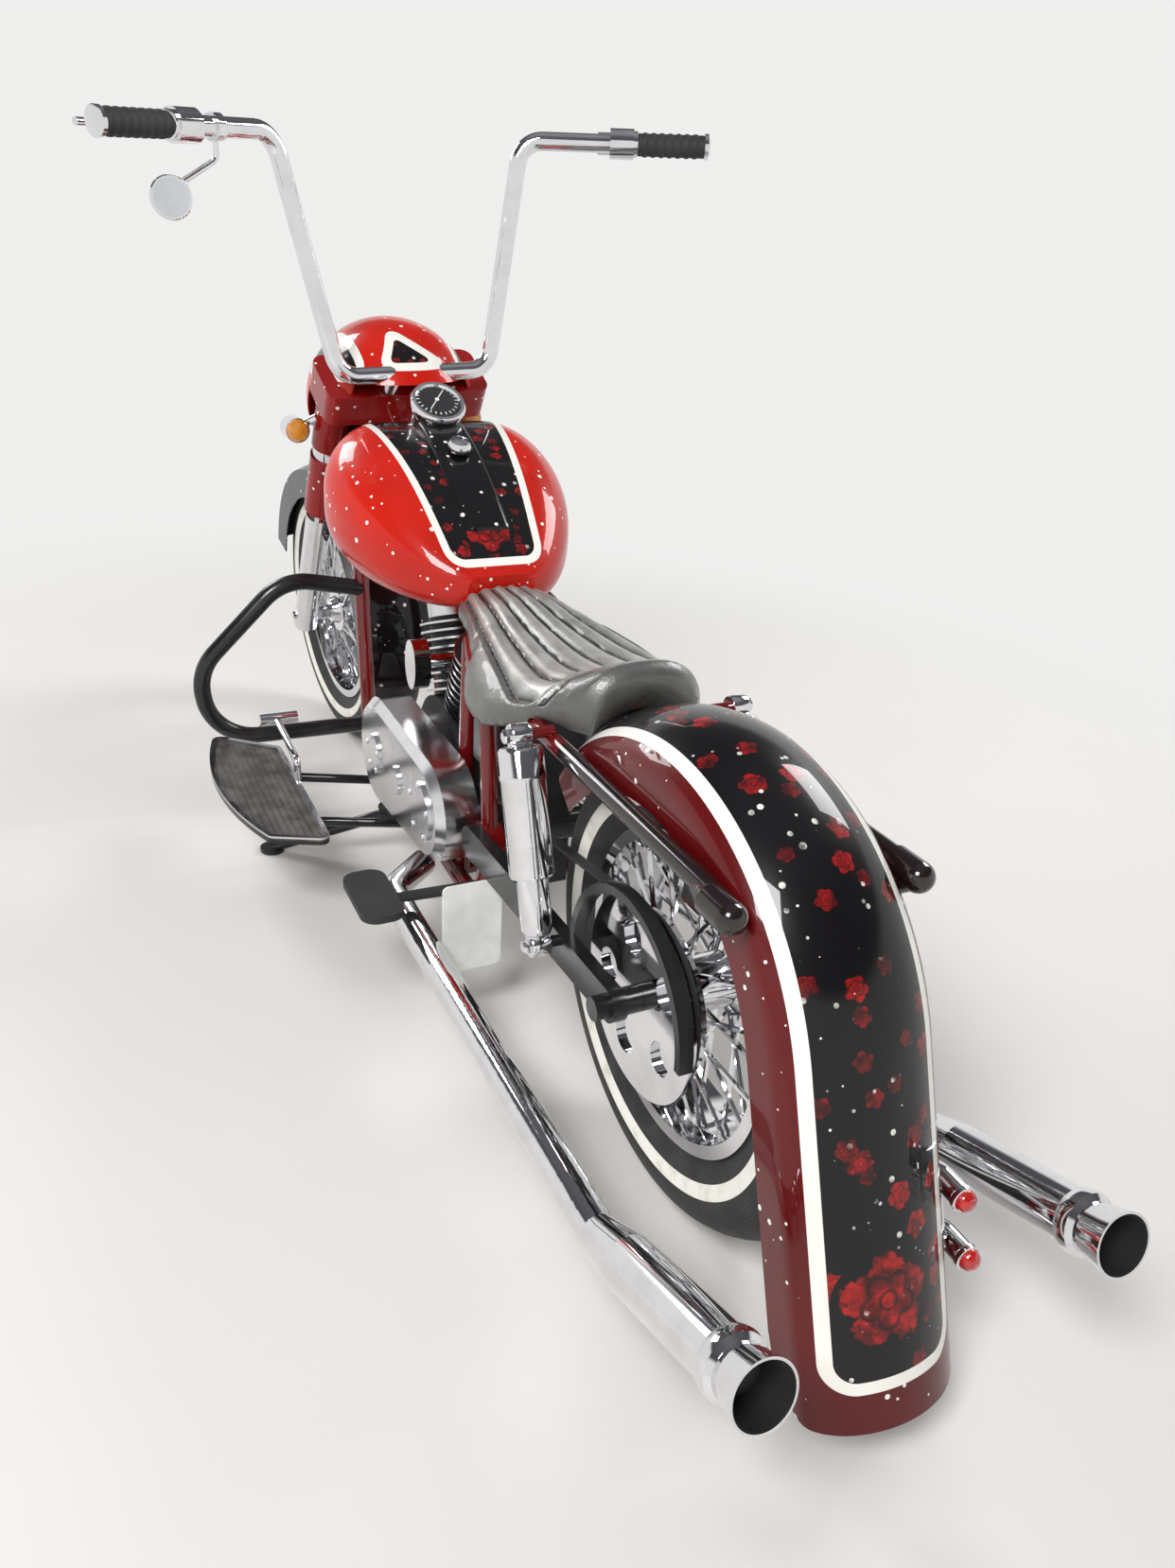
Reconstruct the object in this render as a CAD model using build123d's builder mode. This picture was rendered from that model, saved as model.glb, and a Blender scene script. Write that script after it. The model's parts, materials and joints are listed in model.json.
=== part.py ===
"""A low, long V-twin motorcycle with a high handlebar and wire wheels.

It is modelled upright and steered straight ahead: X forward from the rear axle, Y to the rider's left, Z up
from the floor, in millimetres. At the end every piece is leaned on to the side stand.
"""
from build123d import *
from math import cos, radians, sin, tan
import os

# Stance
WHEELBASE = 1680
LEAN = 3.0
STEER_AT_REST = 4.4
RAKE = 32
TRAIL = 140

# Clearances
SEAT_GAP = 0.3
RUN_GAP = 5.0

# Wheels
TYRE_RADIUS = 325
TYRE_WIDTH = 130
RIM_SEAT_RADIUS = 203
RIM_WIDTH = 90
RIM_FLANGE = 13
RIM_FLANGE_WIDTH = 5
RIM_WELL_DEPTH = 9
HUB_RADIUS = 38
HUB_LENGTH = 120
HUB_FLANGE_RADIUS = 52
HUB_FLANGE_SPACING = 76
HUB_FLANGE_WIDTH = 6
SPOKES_PER_SIDE = 20
SPOKE_SIZE = 5
SPOKE_CROSS = 26
AXLE_RADIUS = 10
PULLEY_RADIUS = 112
PULLEY_WIDTH = 28
PULLEY_COVER_RADIUS = 136
PULLEY_COVER_WIDTH = 7

# Rear fender, about the rear axle
FENDER_CROWN_RADIUS = 366
FENDER_SHOULDER_RADIUS = 322
FENDER_HALF_WIDTH = 103
FENDER_SKIRT_RADIUS = 268
FENDER_WALL = 3
FENDER_FRONT_ANGLE = 38
FENDER_REAR_ANGLE = 160
FENDER_TAIL = 400
FENDER_CORNER = 90

# Frame
TUBE_RADIUS = 16
BACKBONE_RADIUS = 20
RAIL_HEIGHT = 150
RAIL_HALF_SPACING = 84
DOWNTUBE_KNEE = (1312, 560)
RAIL_FRONT_X = 1268
RAIL_REAR_X = 520
POST_FOOT_X = 672
POST_TOP_X = 650
POST_RADIUS = 14
TOP_RAIL_HEIGHT = 585
TOP_RAIL_HALF_SPACING = 119
TOP_RAIL_RADIUS = 13
BACKBONE_REAR = (650, TOP_RAIL_HEIGHT + 15)
NECK_RADIUS = 30
STEM_RADIUS = 14
STRUT_END_X = -216
STRUT_END_RADIUS = 19
STRUT_BOLT_DROP = 23

# Swingarm and shocks
ARM_INNER_Y = 120
ARM_THICKNESS = 20
ARM_AXLE_RADIUS = 23
AXLE_END_RADIUS = 16
AXLE_END_LENGTH = 20
ARM_PIVOT_RADIUS = 28
PIVOT = (500, 300)
PIVOT_TUBE_RADIUS = 20
PIVOT_BOSS_RADIUS = 32
PIVOT_BOSS_Y = (88, 119)
SHOCK_TOP = (240, TOP_RAIL_HEIGHT + 15)
SHOCK_FOOT = (150, 330)
SHOCK_Y = 168
SHOCK_CAN_RADIUS = 31
SHOCK_FOOT_RADIUS = 22
SHOCK_EYE_RADIUS = 17
SHOCK_EYE_WIDTH = 26
STUD_RADIUS = 8

# Engine
CRANK = (860, 285)
CASE_HALF_WIDTH = 66
CASE_RADIUS = 117
CYLINDER_ANGLE = 22.5
BARREL_START = 100
BARREL_END = 222
HEAD_END = 262
ROCKER_END = 288
BARREL_RADIUS = 50
FIN_RADIUS = 68
FIN_COUNT = 9
FIN_THICKNESS = 4
ROCKER_RADIUS = 50
GEARBOX_X = (538, 742)
GEARBOX_Z = (170, 400)
GEARBOX_HALF_WIDTH = 58
SPROCKET_X = 600
SPROCKET_RADIUS = 42
OIL_TANK_X = (522, 632)
OIL_TANK_TOP = 570
OIL_TANK_HALF_WIDTH = 92
PRIMARY_Y = (104, 176)
PRIMARY_FRONT = (905, 290, 104)
PRIMARY_REAR = (632, 300, 90)
PRIMARY_LIDS = ((632, 300, 54), (905, 290, 40), (772, 294, 27))
PUSHROD_RADIUS = 8
BELT_THICKNESS = 5
BELT_Y = (71, 86)

# Exhausts
PIPE_RADIUS = 24
PIPE_HEIGHT = 168
PIPE_Y = 236
PIPE_FRONT_X = 700
KINK_X = -200
MOUTH = (-508, 226, 268)
MUFFLER_RADIUS = 33
MOUTH_RADIUS = 38
MOUTH_WALL = 2.5
PIPE_BRACKET_X = 590

# Seat, as X, half width, lower and upper Z above the top rails
SEAT_SECTIONS = (
    (205, 78, 15, 91),
    (225, 96, 12, 107),
    (262, 118, 8, 87),
    (300, 140, -2, 67),
    (386, 160, -37, 54),
    (470, 158, -37, 53),
    (560, 127, -10, 57),
    (640, 98, 8, 65),
    (722, 82, 17, 67),
)
SEAT_DOME = 2.6
SEAT_EDGE = 8

# Tank and dash; each tank section is X, half width, lower Z, upper Z and corner radius
TANK_SECTIONS = (
    (726, 60, 622, 668, 20),
    (800, 146, 604, 726, 54),
    (910, 202, 598, 800, 90),
    (1030, 220, 604, 848, 108),
    (1095, 200, 626, 858, 100),
    (1128, 150, 664, 846, 80),
)
TANK_WALL = 3
DASH_HALF_WIDTH = 42
DASH_RISES = (6, 9, 15, 20)
SPEEDO = (1063, 890)
SPEEDO_DEPTH = 54
SPEEDO_RADIUS = 47
SPEEDO_TILT = 34

# Fork and what it carries, measured up the fork from the front axle
FORK_Y = 118
FORK_TUBE_RADIUS = 21
FORK_TUBE_TOP = 700
FORK_LEG_RADIUS = 28
LEG_END = 330
LEG_FOOT = 34
LOWER_TREE = (500, 528)
SHROUD = (660, 725)
SHROUD_BACK = 95
SHROUD_FRONT = 30
SHROUD_HALF_WIDTH = 165
COVER_RADIUS = 34
NACELLE_HEIGHT = 858
NACELLE_RADIUS = 160
NACELLE_FRONT_X = WHEELBASE - 185
NACELLE_WALL = 3
NACELLE_HEM = 915
NACELLE_REAR_X = NACELLE_FRONT_X - 345
NACELLE_PROFILE = (
    (-328, 0.44), (-293, 0.7), (-245, 0.9), (-185, 1), (-95, 0.97), (-40, 0.86), (0, 0.65),
)
LAMP_RADIUS = 98

# Front fender, about the front axle
FRONT_CROWN_RADIUS = 352
FRONT_SHOULDER_RADIUS = 334
FRONT_HALF_WIDTH = 86
FRONT_SKIRT_RADIUS = 270
FRONT_FENDER_ANGLES = (18, 194)

# Handlebar
BAR_RADIUS = 16
BAR_BASE = (WHEELBASE - 483, 150, 931)
BAR_BEND = (WHEELBASE - 471, 232, 1328)
BAR_END = (WHEELBASE - 631, 532, 1324)
GRIP_RADIUS = 19
GRIP_LENGTH = 130
RISER_Y = 45
MIRROR = (WHEELBASE - 575, 430, 1225)
MIRROR_RADIUS = 31
FORK_LAMP = (WHEELBASE - 288, 188, 810)

# Floorboards, crash bar, number plate and lamps
CRASH_BAR_RADIUS = 17
CRASH_BAR_BEND = 105
BOARD_X = (745, 1165)
BOARD_Y = 300
BOARD_TAIL = (790, 400)
BOARD_SIDE = (1020, 450)
BOARD_NOSE = (1262, 416)
BOARD_BRACKETS = (855, 1055)
BOARD_Z = 196
BOARD_THICKNESS = 14
BOARD_RIM = 9
PEG = (520, 292, 214)
PEG_SIZE = (150, 70, 12)
PLATE_X = 422
PLATE_Y = (110, 209)
PLATE_Z = (112, 272)
TAIL_LAMPS = ((-350, 251), (-375, 186))
TAIL_LAMP_Y = 126
TAIL_LAMP_RADIUS = 15

# Side stand: pivot, foot on the floor and the direction in which the folded leg lies
STAND_PIVOT = (985, 122, 116)
STAND_FOOT = (1085, 345)
STAND_FOLDED = (-240, 60, -10)
STAND_RADIUS = 12
STAND_PAD_RADIUS = 24
STAND_PAD_THICKNESS = 8
STAND_PIN_RADIUS = 8
STAND_EYE_HALF = 12.5

TILT = radians(RAKE)
AXIS_GROUND_X = WHEELBASE + TRAIL
FORK_OFFSET = (TYRE_RADIUS * tan(TILT) - TRAIL) * cos(TILT)
CROWN_SAG = 26
CROWN_EDGE = TYRE_WIDTH / 2 - 7
CROWN_RADIUS = (CROWN_EDGE ** 2 + CROWN_SAG ** 2) / (2 * CROWN_SAG)
TYRE_DROP = CROWN_RADIUS * (1 - cos(radians(LEAN)))
STEER_AXIS = Axis((AXIS_GROUND_X, 0, 0), (-sin(TILT), 0, cos(TILT)))


def upright(point):
    """Plane across a wheel: its normal is the wheel's axle, along +Y."""
    return Plane(origin=point, x_dir=(1, 0, 0), z_dir=(0, -1, 0))


def fork_plane(height, forward=0, side=0):
    """Plane square to the fork, height up from the front axle."""
    along = Vector(-sin(TILT), 0, cos(TILT))
    ahead = Vector(cos(TILT), 0, sin(TILT))
    origin = Vector(WHEELBASE, side, TYRE_RADIUS) + along * height + ahead * forward
    return Plane(origin=origin, x_dir=ahead, z_dir=along)


def tube(points, radius, bend=0):
    """A round tube along straight runs with one bend radius."""
    with BuildPart() as piece:
        with BuildLine() as route:
            if bend and len(points) > 2:
                FilletPolyline(*points, radius=bend)
            else:
                Polyline(*points)
        with BuildSketch(Plane(origin=route.line @ 0, z_dir=route.line % 0)):
            Circle(radius)
        sweep()
    return piece.part


def rod(start, end, radius):
    """A straight round rod between two points."""
    run = Vector(*end) - Vector(*start)
    with BuildPart() as piece:
        with BuildSketch(Plane(origin=start, z_dir=run)):
            Circle(radius)
        extrude(amount=run.length)
    return piece.part


def mirrored(points):
    """The same points on the rider's right."""
    return [(x, -y, z) for x, y, z in points]


def wheel_rim(centre):
    """Rim, hub and spokes of a wire wheel as one piece, on an axle along Y."""
    half_rim = RIM_WIDTH / 2
    well = RIM_SEAT_RADIUS - RIM_WELL_DEPTH
    half_hub = HUB_LENGTH / 2
    bore = AXLE_RADIUS + SEAT_GAP
    flange = HUB_FLANGE_SPACING / 2
    lip = flange + HUB_FLANGE_WIDTH
    x, y, z = centre
    step = 360 / SPOKES_PER_SIDE
    with BuildPart() as piece:
        with BuildSketch(Plane(origin=centre, x_dir=(0, 1, 0), z_dir=(1, 0, 0))):
            with BuildLine():
                Polyline(
                    (-half_rim, RIM_SEAT_RADIUS),
                    (half_rim, RIM_SEAT_RADIUS),
                    (half_rim, RIM_SEAT_RADIUS + RIM_FLANGE),
                    (half_rim + RIM_FLANGE_WIDTH, RIM_SEAT_RADIUS + RIM_FLANGE),
                    (half_rim + RIM_FLANGE_WIDTH, well + RIM_WELL_DEPTH / 2),
                    (half_rim / 2, well),
                    (-half_rim / 2, well),
                    (-half_rim - RIM_FLANGE_WIDTH, well + RIM_WELL_DEPTH / 2),
                    (-half_rim - RIM_FLANGE_WIDTH, RIM_SEAT_RADIUS + RIM_FLANGE),
                    (-half_rim, RIM_SEAT_RADIUS + RIM_FLANGE),
                    close=True,
                )
            make_face()
            with BuildLine():
                Polyline(
                    (-half_hub, bore),
                    (half_hub, bore),
                    (half_hub, HUB_RADIUS - 10),
                    (lip, HUB_RADIUS - 4),
                    (lip, HUB_FLANGE_RADIUS),
                    (flange, HUB_FLANGE_RADIUS),
                    (flange - 8, HUB_RADIUS),
                    (8 - flange, HUB_RADIUS),
                    (-flange, HUB_FLANGE_RADIUS),
                    (-lip, HUB_FLANGE_RADIUS),
                    (-lip, HUB_RADIUS - 4),
                    (-half_hub, HUB_RADIUS - 10),
                    close=True,
                )
            make_face()
        revolve(axis=Axis(centre, (0, 1, 0)))
        for side in (1, -1):
            for number in range(SPOKES_PER_SIDE):
                at_rim = radians(step * (number + side / 4))
                at_hub = at_rim + radians(SPOKE_CROSS if number % 2 else -SPOKE_CROSS)
                hub_r = HUB_FLANGE_RADIUS - 3
                rim_r = well + 3
                foot = Vector(x + hub_r * cos(at_hub), y + side * (flange + lip) / 2, z + hub_r * sin(at_hub))
                head = Vector(x + rim_r * cos(at_rim), y + side * 10, z + rim_r * sin(at_rim))
                run = head - foot
                with BuildSketch(Plane(origin=foot, z_dir=run)):
                    Rectangle(SPOKE_SIZE, SPOKE_SIZE)
                extrude(amount=run.length)
    return piece.part


def tyre(centre):
    """A round-crowned tyre that fills the space between the rim's flanges."""
    half_rim = RIM_WIDTH / 2
    bead = RIM_SEAT_RADIUS + RIM_FLANGE
    belly = RIM_SEAT_RADIUS + 0.48 * (TYRE_RADIUS - RIM_SEAT_RADIUS)
    shoulder = TYRE_RADIUS - CROWN_SAG
    wide = TYRE_WIDTH / 2
    edge = CROWN_EDGE
    with BuildPart() as piece:
        with BuildSketch(Plane(origin=centre, x_dir=(0, 1, 0), z_dir=(1, 0, 0))):
            with BuildLine():
                Polyline((-half_rim, bead), (-half_rim, RIM_SEAT_RADIUS), (half_rim, RIM_SEAT_RADIUS))
                Line((half_rim, RIM_SEAT_RADIUS), (half_rim, bead))
                ThreePointArc((half_rim, bead), (wide, belly), (edge, shoulder))
                ThreePointArc((edge, shoulder), (0, TYRE_RADIUS), (-edge, shoulder))
                ThreePointArc((-edge, shoulder), (-wide, belly), (-half_rim, bead))
            make_face()
        revolve(axis=Axis(centre, (0, 1, 0)))
    return piece.part


def blended(sections):
    """The same sections with one more between each two, on a smooth curve through them."""
    rows = [sections[0]]
    for number in range(len(sections) - 1):
        near = sections[max(number - 1, 0):number + 3]
        before, here, there, after = near[0], sections[number], sections[number + 1], near[-1]
        rows.append(tuple((9 * (b + c) - a - d) / 16 for a, b, c, d in zip(before, here, there, after)))
        rows.append(there)
    return rows


def lofted(sections, ruled=False):
    """A body through rounded rectangles: X, half width, lower Z, upper Z and corner radius of each."""
    with BuildPart() as piece:
        for x, half_width, low, high, corner in sections:
            with BuildSketch(Plane(origin=(x, 0, (low + high) / 2), x_dir=(0, 1, 0), z_dir=(1, 0, 0))):
                RectangleRounded(2 * half_width, high - low, corner)
        loft(ruled=ruled)
    return piece.part


def domed(sections):
    """A body through domes with straight edges: X, half width, lower and upper Z of each."""
    steps = [radians(angle) for angle in (0, 14, 36, 62, 90, 118, 144, 166, 180)]
    power = 2 / SEAT_DOME
    with BuildPart() as piece:
        for x, half_width, low, high in sections:
            base = low + SEAT_EDGE
            rise = high - base
            points = []
            for angle in steps:
                across = abs(cos(angle)) ** power * (1 if cos(angle) > 0 else -1)
                points.append((half_width * across, base + rise * abs(sin(angle)) ** power))
            points[0] = (half_width, base)
            points[-1] = (-half_width, base)
            with BuildSketch(Plane(origin=(x, 0, 0), x_dir=(0, 1, 0), z_dir=(1, 0, 0))):
                with BuildLine():
                    Polyline((-half_width, base), (-half_width, low), (half_width, low), (half_width, base))
                    Spline(*points)
                make_face()
        loft(ruled=True)
    return piece.part


def fender_section(plane, crown, shoulder, half_width, skirt, wall):
    """Sheet section of a fender, as (Y, radius): a crowned top with two straight skirts."""
    inner = half_width - wall
    inner_shoulder = shoulder - wall / 2
    with BuildSketch(plane) as section:
        with BuildLine():
            ThreePointArc((-half_width, shoulder), (0, crown), (half_width, shoulder))
            Polyline((half_width, shoulder), (half_width, skirt), (inner, skirt), (inner, inner_shoulder))
            ThreePointArc((inner, inner_shoulder), (0, crown - wall), (-inner, inner_shoulder))
            Polyline((-inner, inner_shoulder), (-inner, skirt), (-half_width, skirt), (-half_width, shoulder))
        make_face()
    return section.sketch


REAR_AXLE = (0, 0, TYRE_RADIUS)
FRONT_AXLE = (WHEELBASE, 0, TYRE_RADIUS)

with BuildPart() as rear_rim:
    add(wheel_rim(REAR_AXLE))

with BuildPart() as rear_tyre:
    add(tyre(REAR_AXLE))

with BuildPart() as front_rim:
    add(wheel_rim(FRONT_AXLE))

with BuildPart() as front_tyre:
    add(tyre(FRONT_AXLE))

with BuildPart() as rear_pulley:
    # Toothed belt pulley on the left end of the hub, with a dished cover on its outer face
    start = HUB_LENGTH / 2
    with BuildSketch(upright((0, start, TYRE_RADIUS))):
        Circle(PULLEY_RADIUS)
        Circle(AXLE_RADIUS + SEAT_GAP, mode=Mode.SUBTRACT)
    extrude(amount=-PULLEY_WIDTH)
    with BuildSketch(upright((0, start + PULLEY_WIDTH, TYRE_RADIUS))):
        Circle(PULLEY_COVER_RADIUS)
        Circle(AXLE_RADIUS + SEAT_GAP, mode=Mode.SUBTRACT)
        with PolarLocations(PULLEY_COVER_RADIUS * 0.6, 5):
            Circle(PULLEY_COVER_RADIUS * 0.17, mode=Mode.SUBTRACT)
    extrude(amount=-PULLEY_COVER_WIDTH)

with BuildPart() as rear_fender:
    # Round over the wheel, then a straight tail that falls almost to the floor
    rear = radians(FENDER_REAR_ANGLE)
    tail_way = Vector(-sin(rear), 0, cos(rear))
    joint = Plane(origin=REAR_AXLE, x_dir=(0, 1, 0), z_dir=tail_way * -1)
    section = (FENDER_CROWN_RADIUS, FENDER_SHOULDER_RADIUS, FENDER_HALF_WIDTH, FENDER_SKIRT_RADIUS, FENDER_WALL)
    add(fender_section(joint, *section))
    revolve(axis=Axis(REAR_AXLE, (0, 1, 0)), revolution_arc=FENDER_REAR_ANGLE - FENDER_FRONT_ANGLE)
    add(fender_section(joint, *section))
    extrude(amount=FENDER_TAIL, dir=tail_way)
    # The lower front corner of the tail is round
    hub = (FENDER_SKIRT_RADIUS + FENDER_CORNER, FENDER_TAIL - FENDER_CORNER)
    with BuildSketch(Plane(origin=(0, 150, TYRE_RADIUS), x_dir=(cos(rear), 0, sin(rear)), z_dir=(0, -1, 0))):
        with Locations((hub[0] - 60, hub[1] + 60)):
            Rectangle(120, 120)
        with Locations(hub):
            Circle(FENDER_CORNER + 4, mode=Mode.SUBTRACT)
    extrude(amount=300, mode=Mode.SUBTRACT)

# The room that the rear fender takes, for what is laid over it
with BuildPart() as fender_room:
    with BuildSketch(joint):
        with BuildLine():
            half = FENDER_HALF_WIDTH + SEAT_GAP
            edge = FENDER_SHOULDER_RADIUS + SEAT_GAP
            ThreePointArc((-half, edge), (0, FENDER_CROWN_RADIUS + SEAT_GAP), (half, edge))
            Polyline((half, edge), (half, 100), (-half, 100), (-half, edge))
        make_face()
    revolve(axis=Axis(REAR_AXLE, (0, 1, 0)), revolution_arc=FENDER_REAR_ANGLE - FENDER_FRONT_ANGLE + 8)
fender_fill = fender_room.part

with BuildPart() as swingarm:
    for side in (1, -1):
        outer = side * (ARM_INNER_Y + ARM_THICKNESS)
        with BuildSketch(upright((0, outer, 0))):
            with Locations(REAR_AXLE[::2]):
                Circle(ARM_AXLE_RADIUS)
            with Locations(PIVOT):
                Circle(ARM_PIVOT_RADIUS)
            make_hull()
        extrude(amount=side * ARM_THICKNESS)
        add(rod((0, outer, TYRE_RADIUS), (0, outer + side * AXLE_END_LENGTH, TYRE_RADIUS), AXLE_END_RADIUS))
        stud_end = (SHOCK_FOOT[0], side * (SHOCK_Y + 18), SHOCK_FOOT[1])
        add(rod((SHOCK_FOOT[0], outer, SHOCK_FOOT[1]), stud_end, STUD_RADIUS))
    end = ARM_INNER_Y + ARM_THICKNESS
    add(rod((0, -end, TYRE_RADIUS), (0, end, TYRE_RADIUS), AXLE_RADIUS))
    cover_face = HUB_LENGTH / 2 + PULLEY_WIDTH + PULLEY_COVER_WIDTH + SEAT_GAP
    add(rod((0, cover_face, TYRE_RADIUS), (0, ARM_INNER_Y, TYRE_RADIUS), AXLE_RADIUS + 8))
    add(rod((0, -HUB_LENGTH / 2 - SEAT_GAP, TYRE_RADIUS), (0, -ARM_INNER_Y, TYRE_RADIUS), AXLE_RADIUS + 8))
    add(rod((PIVOT[0], -end, PIVOT[1]), (PIVOT[0], end, PIVOT[1]), PIVOT_TUBE_RADIUS))
    # Guard over the upper half of the pulley
    with BuildSketch(upright((0, ARM_INNER_Y + 1, TYRE_RADIUS))):
        Circle(PULLEY_COVER_RADIUS + RUN_GAP + 12)
        Circle(PULLEY_COVER_RADIUS + RUN_GAP, mode=Mode.SUBTRACT)
        with Locations((0, -PULLEY_COVER_RADIUS)):
            Rectangle(4 * PULLEY_COVER_RADIUS, 2 * PULLEY_COVER_RADIUS, mode=Mode.SUBTRACT)
    extrude(amount=19)

for side, name in ((1, "left"), (-1, "right")):
    top = Vector(SHOCK_TOP[0], side * SHOCK_Y, SHOCK_TOP[1])
    foot = Vector(SHOCK_FOOT[0], side * SHOCK_Y, SHOCK_FOOT[1])
    way = (foot - top).normalized()
    with BuildPart() as shock:
        for eye in (top, foot):
            half = Vector(0, SHOCK_EYE_WIDTH / 2, 0)
            add(rod(eye - half, eye + half, SHOCK_EYE_RADIUS))
        add(rod(top + way * 13, top + way * 190, SHOCK_CAN_RADIUS))
        add(rod(top + way * 180, foot - way * 11, SHOCK_FOOT_RADIUS))
        for eye in (top, foot):
            add(rod(eye - half * 2, eye + half * 2, STUD_RADIUS + SEAT_GAP), mode=Mode.SUBTRACT)
    if side == 1:
        shock_left = shock
    else:
        shock_right = shock

neck_low = fork_plane(LOWER_TREE[1] + 3, -FORK_OFFSET)
neck_high = fork_plane(SHROUD[0] - 3, -FORK_OFFSET)
neck_mid = (neck_low.origin + neck_high.origin) / 2
backbone_end = (BACKBONE_REAR[0], 0, BACKBONE_REAR[1])

with BuildPart() as frame:
    add(rod(neck_low.origin, neck_high.origin, NECK_RADIUS))
    add(rod(neck_mid, backbone_end, BACKBONE_RADIUS))
    for side in (1, -1):
        rail_y = side * RAIL_HALF_SPACING
        boss_y = side * (PIVOT_BOSS_Y[0] + PIVOT_BOSS_Y[1]) / 2
        top_y = side * TOP_RAIL_HALF_SPACING
        downtube_head = fork_plane(600, -FORK_OFFSET - 22, side * 12).origin
        knee = (DOWNTUBE_KNEE[0], rail_y, DOWNTUBE_KNEE[1])
        front = (RAIL_FRONT_X, rail_y, RAIL_HEIGHT)
        back = (RAIL_REAR_X, boss_y, RAIL_HEIGHT)
        boss_low = (PIVOT[0] + 3, boss_y, PIVOT[1] - PIVOT_BOSS_RADIUS + 6)
        boss_high = (PIVOT[0] - 2, boss_y, PIVOT[1] + PIVOT_BOSS_RADIUS - 6)
        add(tube([downtube_head, knee, front, back, boss_low], TUBE_RADIUS, bend=45))
        add(rod(boss_high, (PIVOT[0] - 20, top_y, TOP_RAIL_HEIGHT), POST_RADIUS))
        add(rod((POST_FOOT_X, rail_y, RAIL_HEIGHT), (POST_TOP_X, rail_y, TOP_RAIL_HEIGHT), POST_RADIUS))
        rail = [
            (POST_TOP_X, rail_y, TOP_RAIL_HEIGHT),
            (PIVOT[0] + 40, top_y, TOP_RAIL_HEIGHT),
            (STRUT_END_X, top_y, TOP_RAIL_HEIGHT),
        ]
        add(tube(rail, TOP_RAIL_RADIUS, bend=60))
        pivot_ends = [(PIVOT[0], side * end_y, PIVOT[1]) for end_y in PIVOT_BOSS_Y]
        add(rod(*pivot_ends, PIVOT_BOSS_RADIUS))
        stud_foot = (SHOCK_TOP[0], top_y, SHOCK_TOP[1])
        add(rod(stud_foot, (SHOCK_TOP[0], side * (SHOCK_Y + 18), SHOCK_TOP[1]), STUD_RADIUS))
        # Round rear end of the rail, bolted to the fender's flank
        boss = (STRUT_END_X, side * (FENDER_HALF_WIDTH + SEAT_GAP + STRUT_END_RADIUS), TOP_RAIL_HEIGHT - 6)
        with BuildSketch(upright(boss)):
            with BuildLine():
                Polyline((70, 0), (70, TOP_RAIL_RADIUS - 4), (40, STRUT_END_RADIUS), (0, STRUT_END_RADIUS))
                RadiusArc((0, STRUT_END_RADIUS), (-STRUT_END_RADIUS, 0), -STRUT_END_RADIUS)
                Line((-STRUT_END_RADIUS, 0), (70, 0))
            make_face()
        revolve(axis=Axis(boss, (1, 0, 0)))
        bolt = Vector(STRUT_END_X + 12, side * FENDER_HALF_WIDTH, TOP_RAIL_HEIGHT - STRUT_BOLT_DROP)
        add(rod(bolt, bolt + Vector(0, side * STRUT_END_RADIUS, 0), 8))
    for x, z, half in (
        (RAIL_FRONT_X - 60, RAIL_HEIGHT, RAIL_HALF_SPACING),
        (POST_FOOT_X, RAIL_HEIGHT, RAIL_HALF_SPACING),
        (POST_TOP_X + 4, TOP_RAIL_HEIGHT - 6, RAIL_HALF_SPACING - 3),
    ):
        add(rod((x, -half, z), (x, half, z), POST_RADIUS - 1))
    add(rod(neck_low.origin, neck_high.origin, STEM_RADIUS + SEAT_GAP), mode=Mode.SUBTRACT)
    end = PIVOT_BOSS_Y[1] + 1
    add(rod((PIVOT[0], -end, PIVOT[1]), (PIVOT[0], end, PIVOT[1]), PIVOT_TUBE_RADIUS), mode=Mode.SUBTRACT)

with BuildPart() as crankcase:
    with BuildSketch(upright((0, CASE_HALF_WIDTH, 0))):
        with Locations(CRANK):
            Circle(CASE_RADIUS)
    extrude(amount=2 * CASE_HALF_WIDTH)
    with BuildSketch(upright((0, -CASE_HALF_WIDTH, 0))):
        with Locations((CRANK[0] + 15, CRANK[1])):
            Circle(78)
        with Locations((CRANK[0] - 60, CRANK[1] - 20)):
            Circle(40)
        make_hull()
    extrude(amount=40)

with BuildPart() as cylinders:
    # Two finned barrels with their heads and rocker boxes, in a V above the crankcase
    for way in (1, -1):
        lean = radians(CYLINDER_ANGLE) * way
        along = Vector(sin(lean), 0, cos(lean))
        centre = Vector(CRANK[0], 0, CRANK[1])
        add(rod(centre + along * BARREL_START, centre + along * HEAD_END, BARREL_RADIUS))
        pitch = (HEAD_END - BARREL_START - 24) / FIN_COUNT
        for number in range(FIN_COUNT):
            foot = centre + along * (BARREL_START + 24 + pitch * number)
            add(rod(foot, foot + along * FIN_THICKNESS, FIN_RADIUS))
        add(rod(centre + along * HEAD_END, centre + along * ROCKER_END, ROCKER_RADIUS))
        # Pushrod tubes, from the timing cover up to the head
        for step in (-16, 16):
            foot = Vector(CRANK[0] + 8 + way * 22 + step, -CASE_HALF_WIDTH - 18, CRANK[1] + 60)
            head = centre + along * (HEAD_END + 4) + Vector(step, -42, 0)
            add(rod(foot, head, PUSHROD_RADIUS))
    add(crankcase.part, mode=Mode.SUBTRACT)

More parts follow.
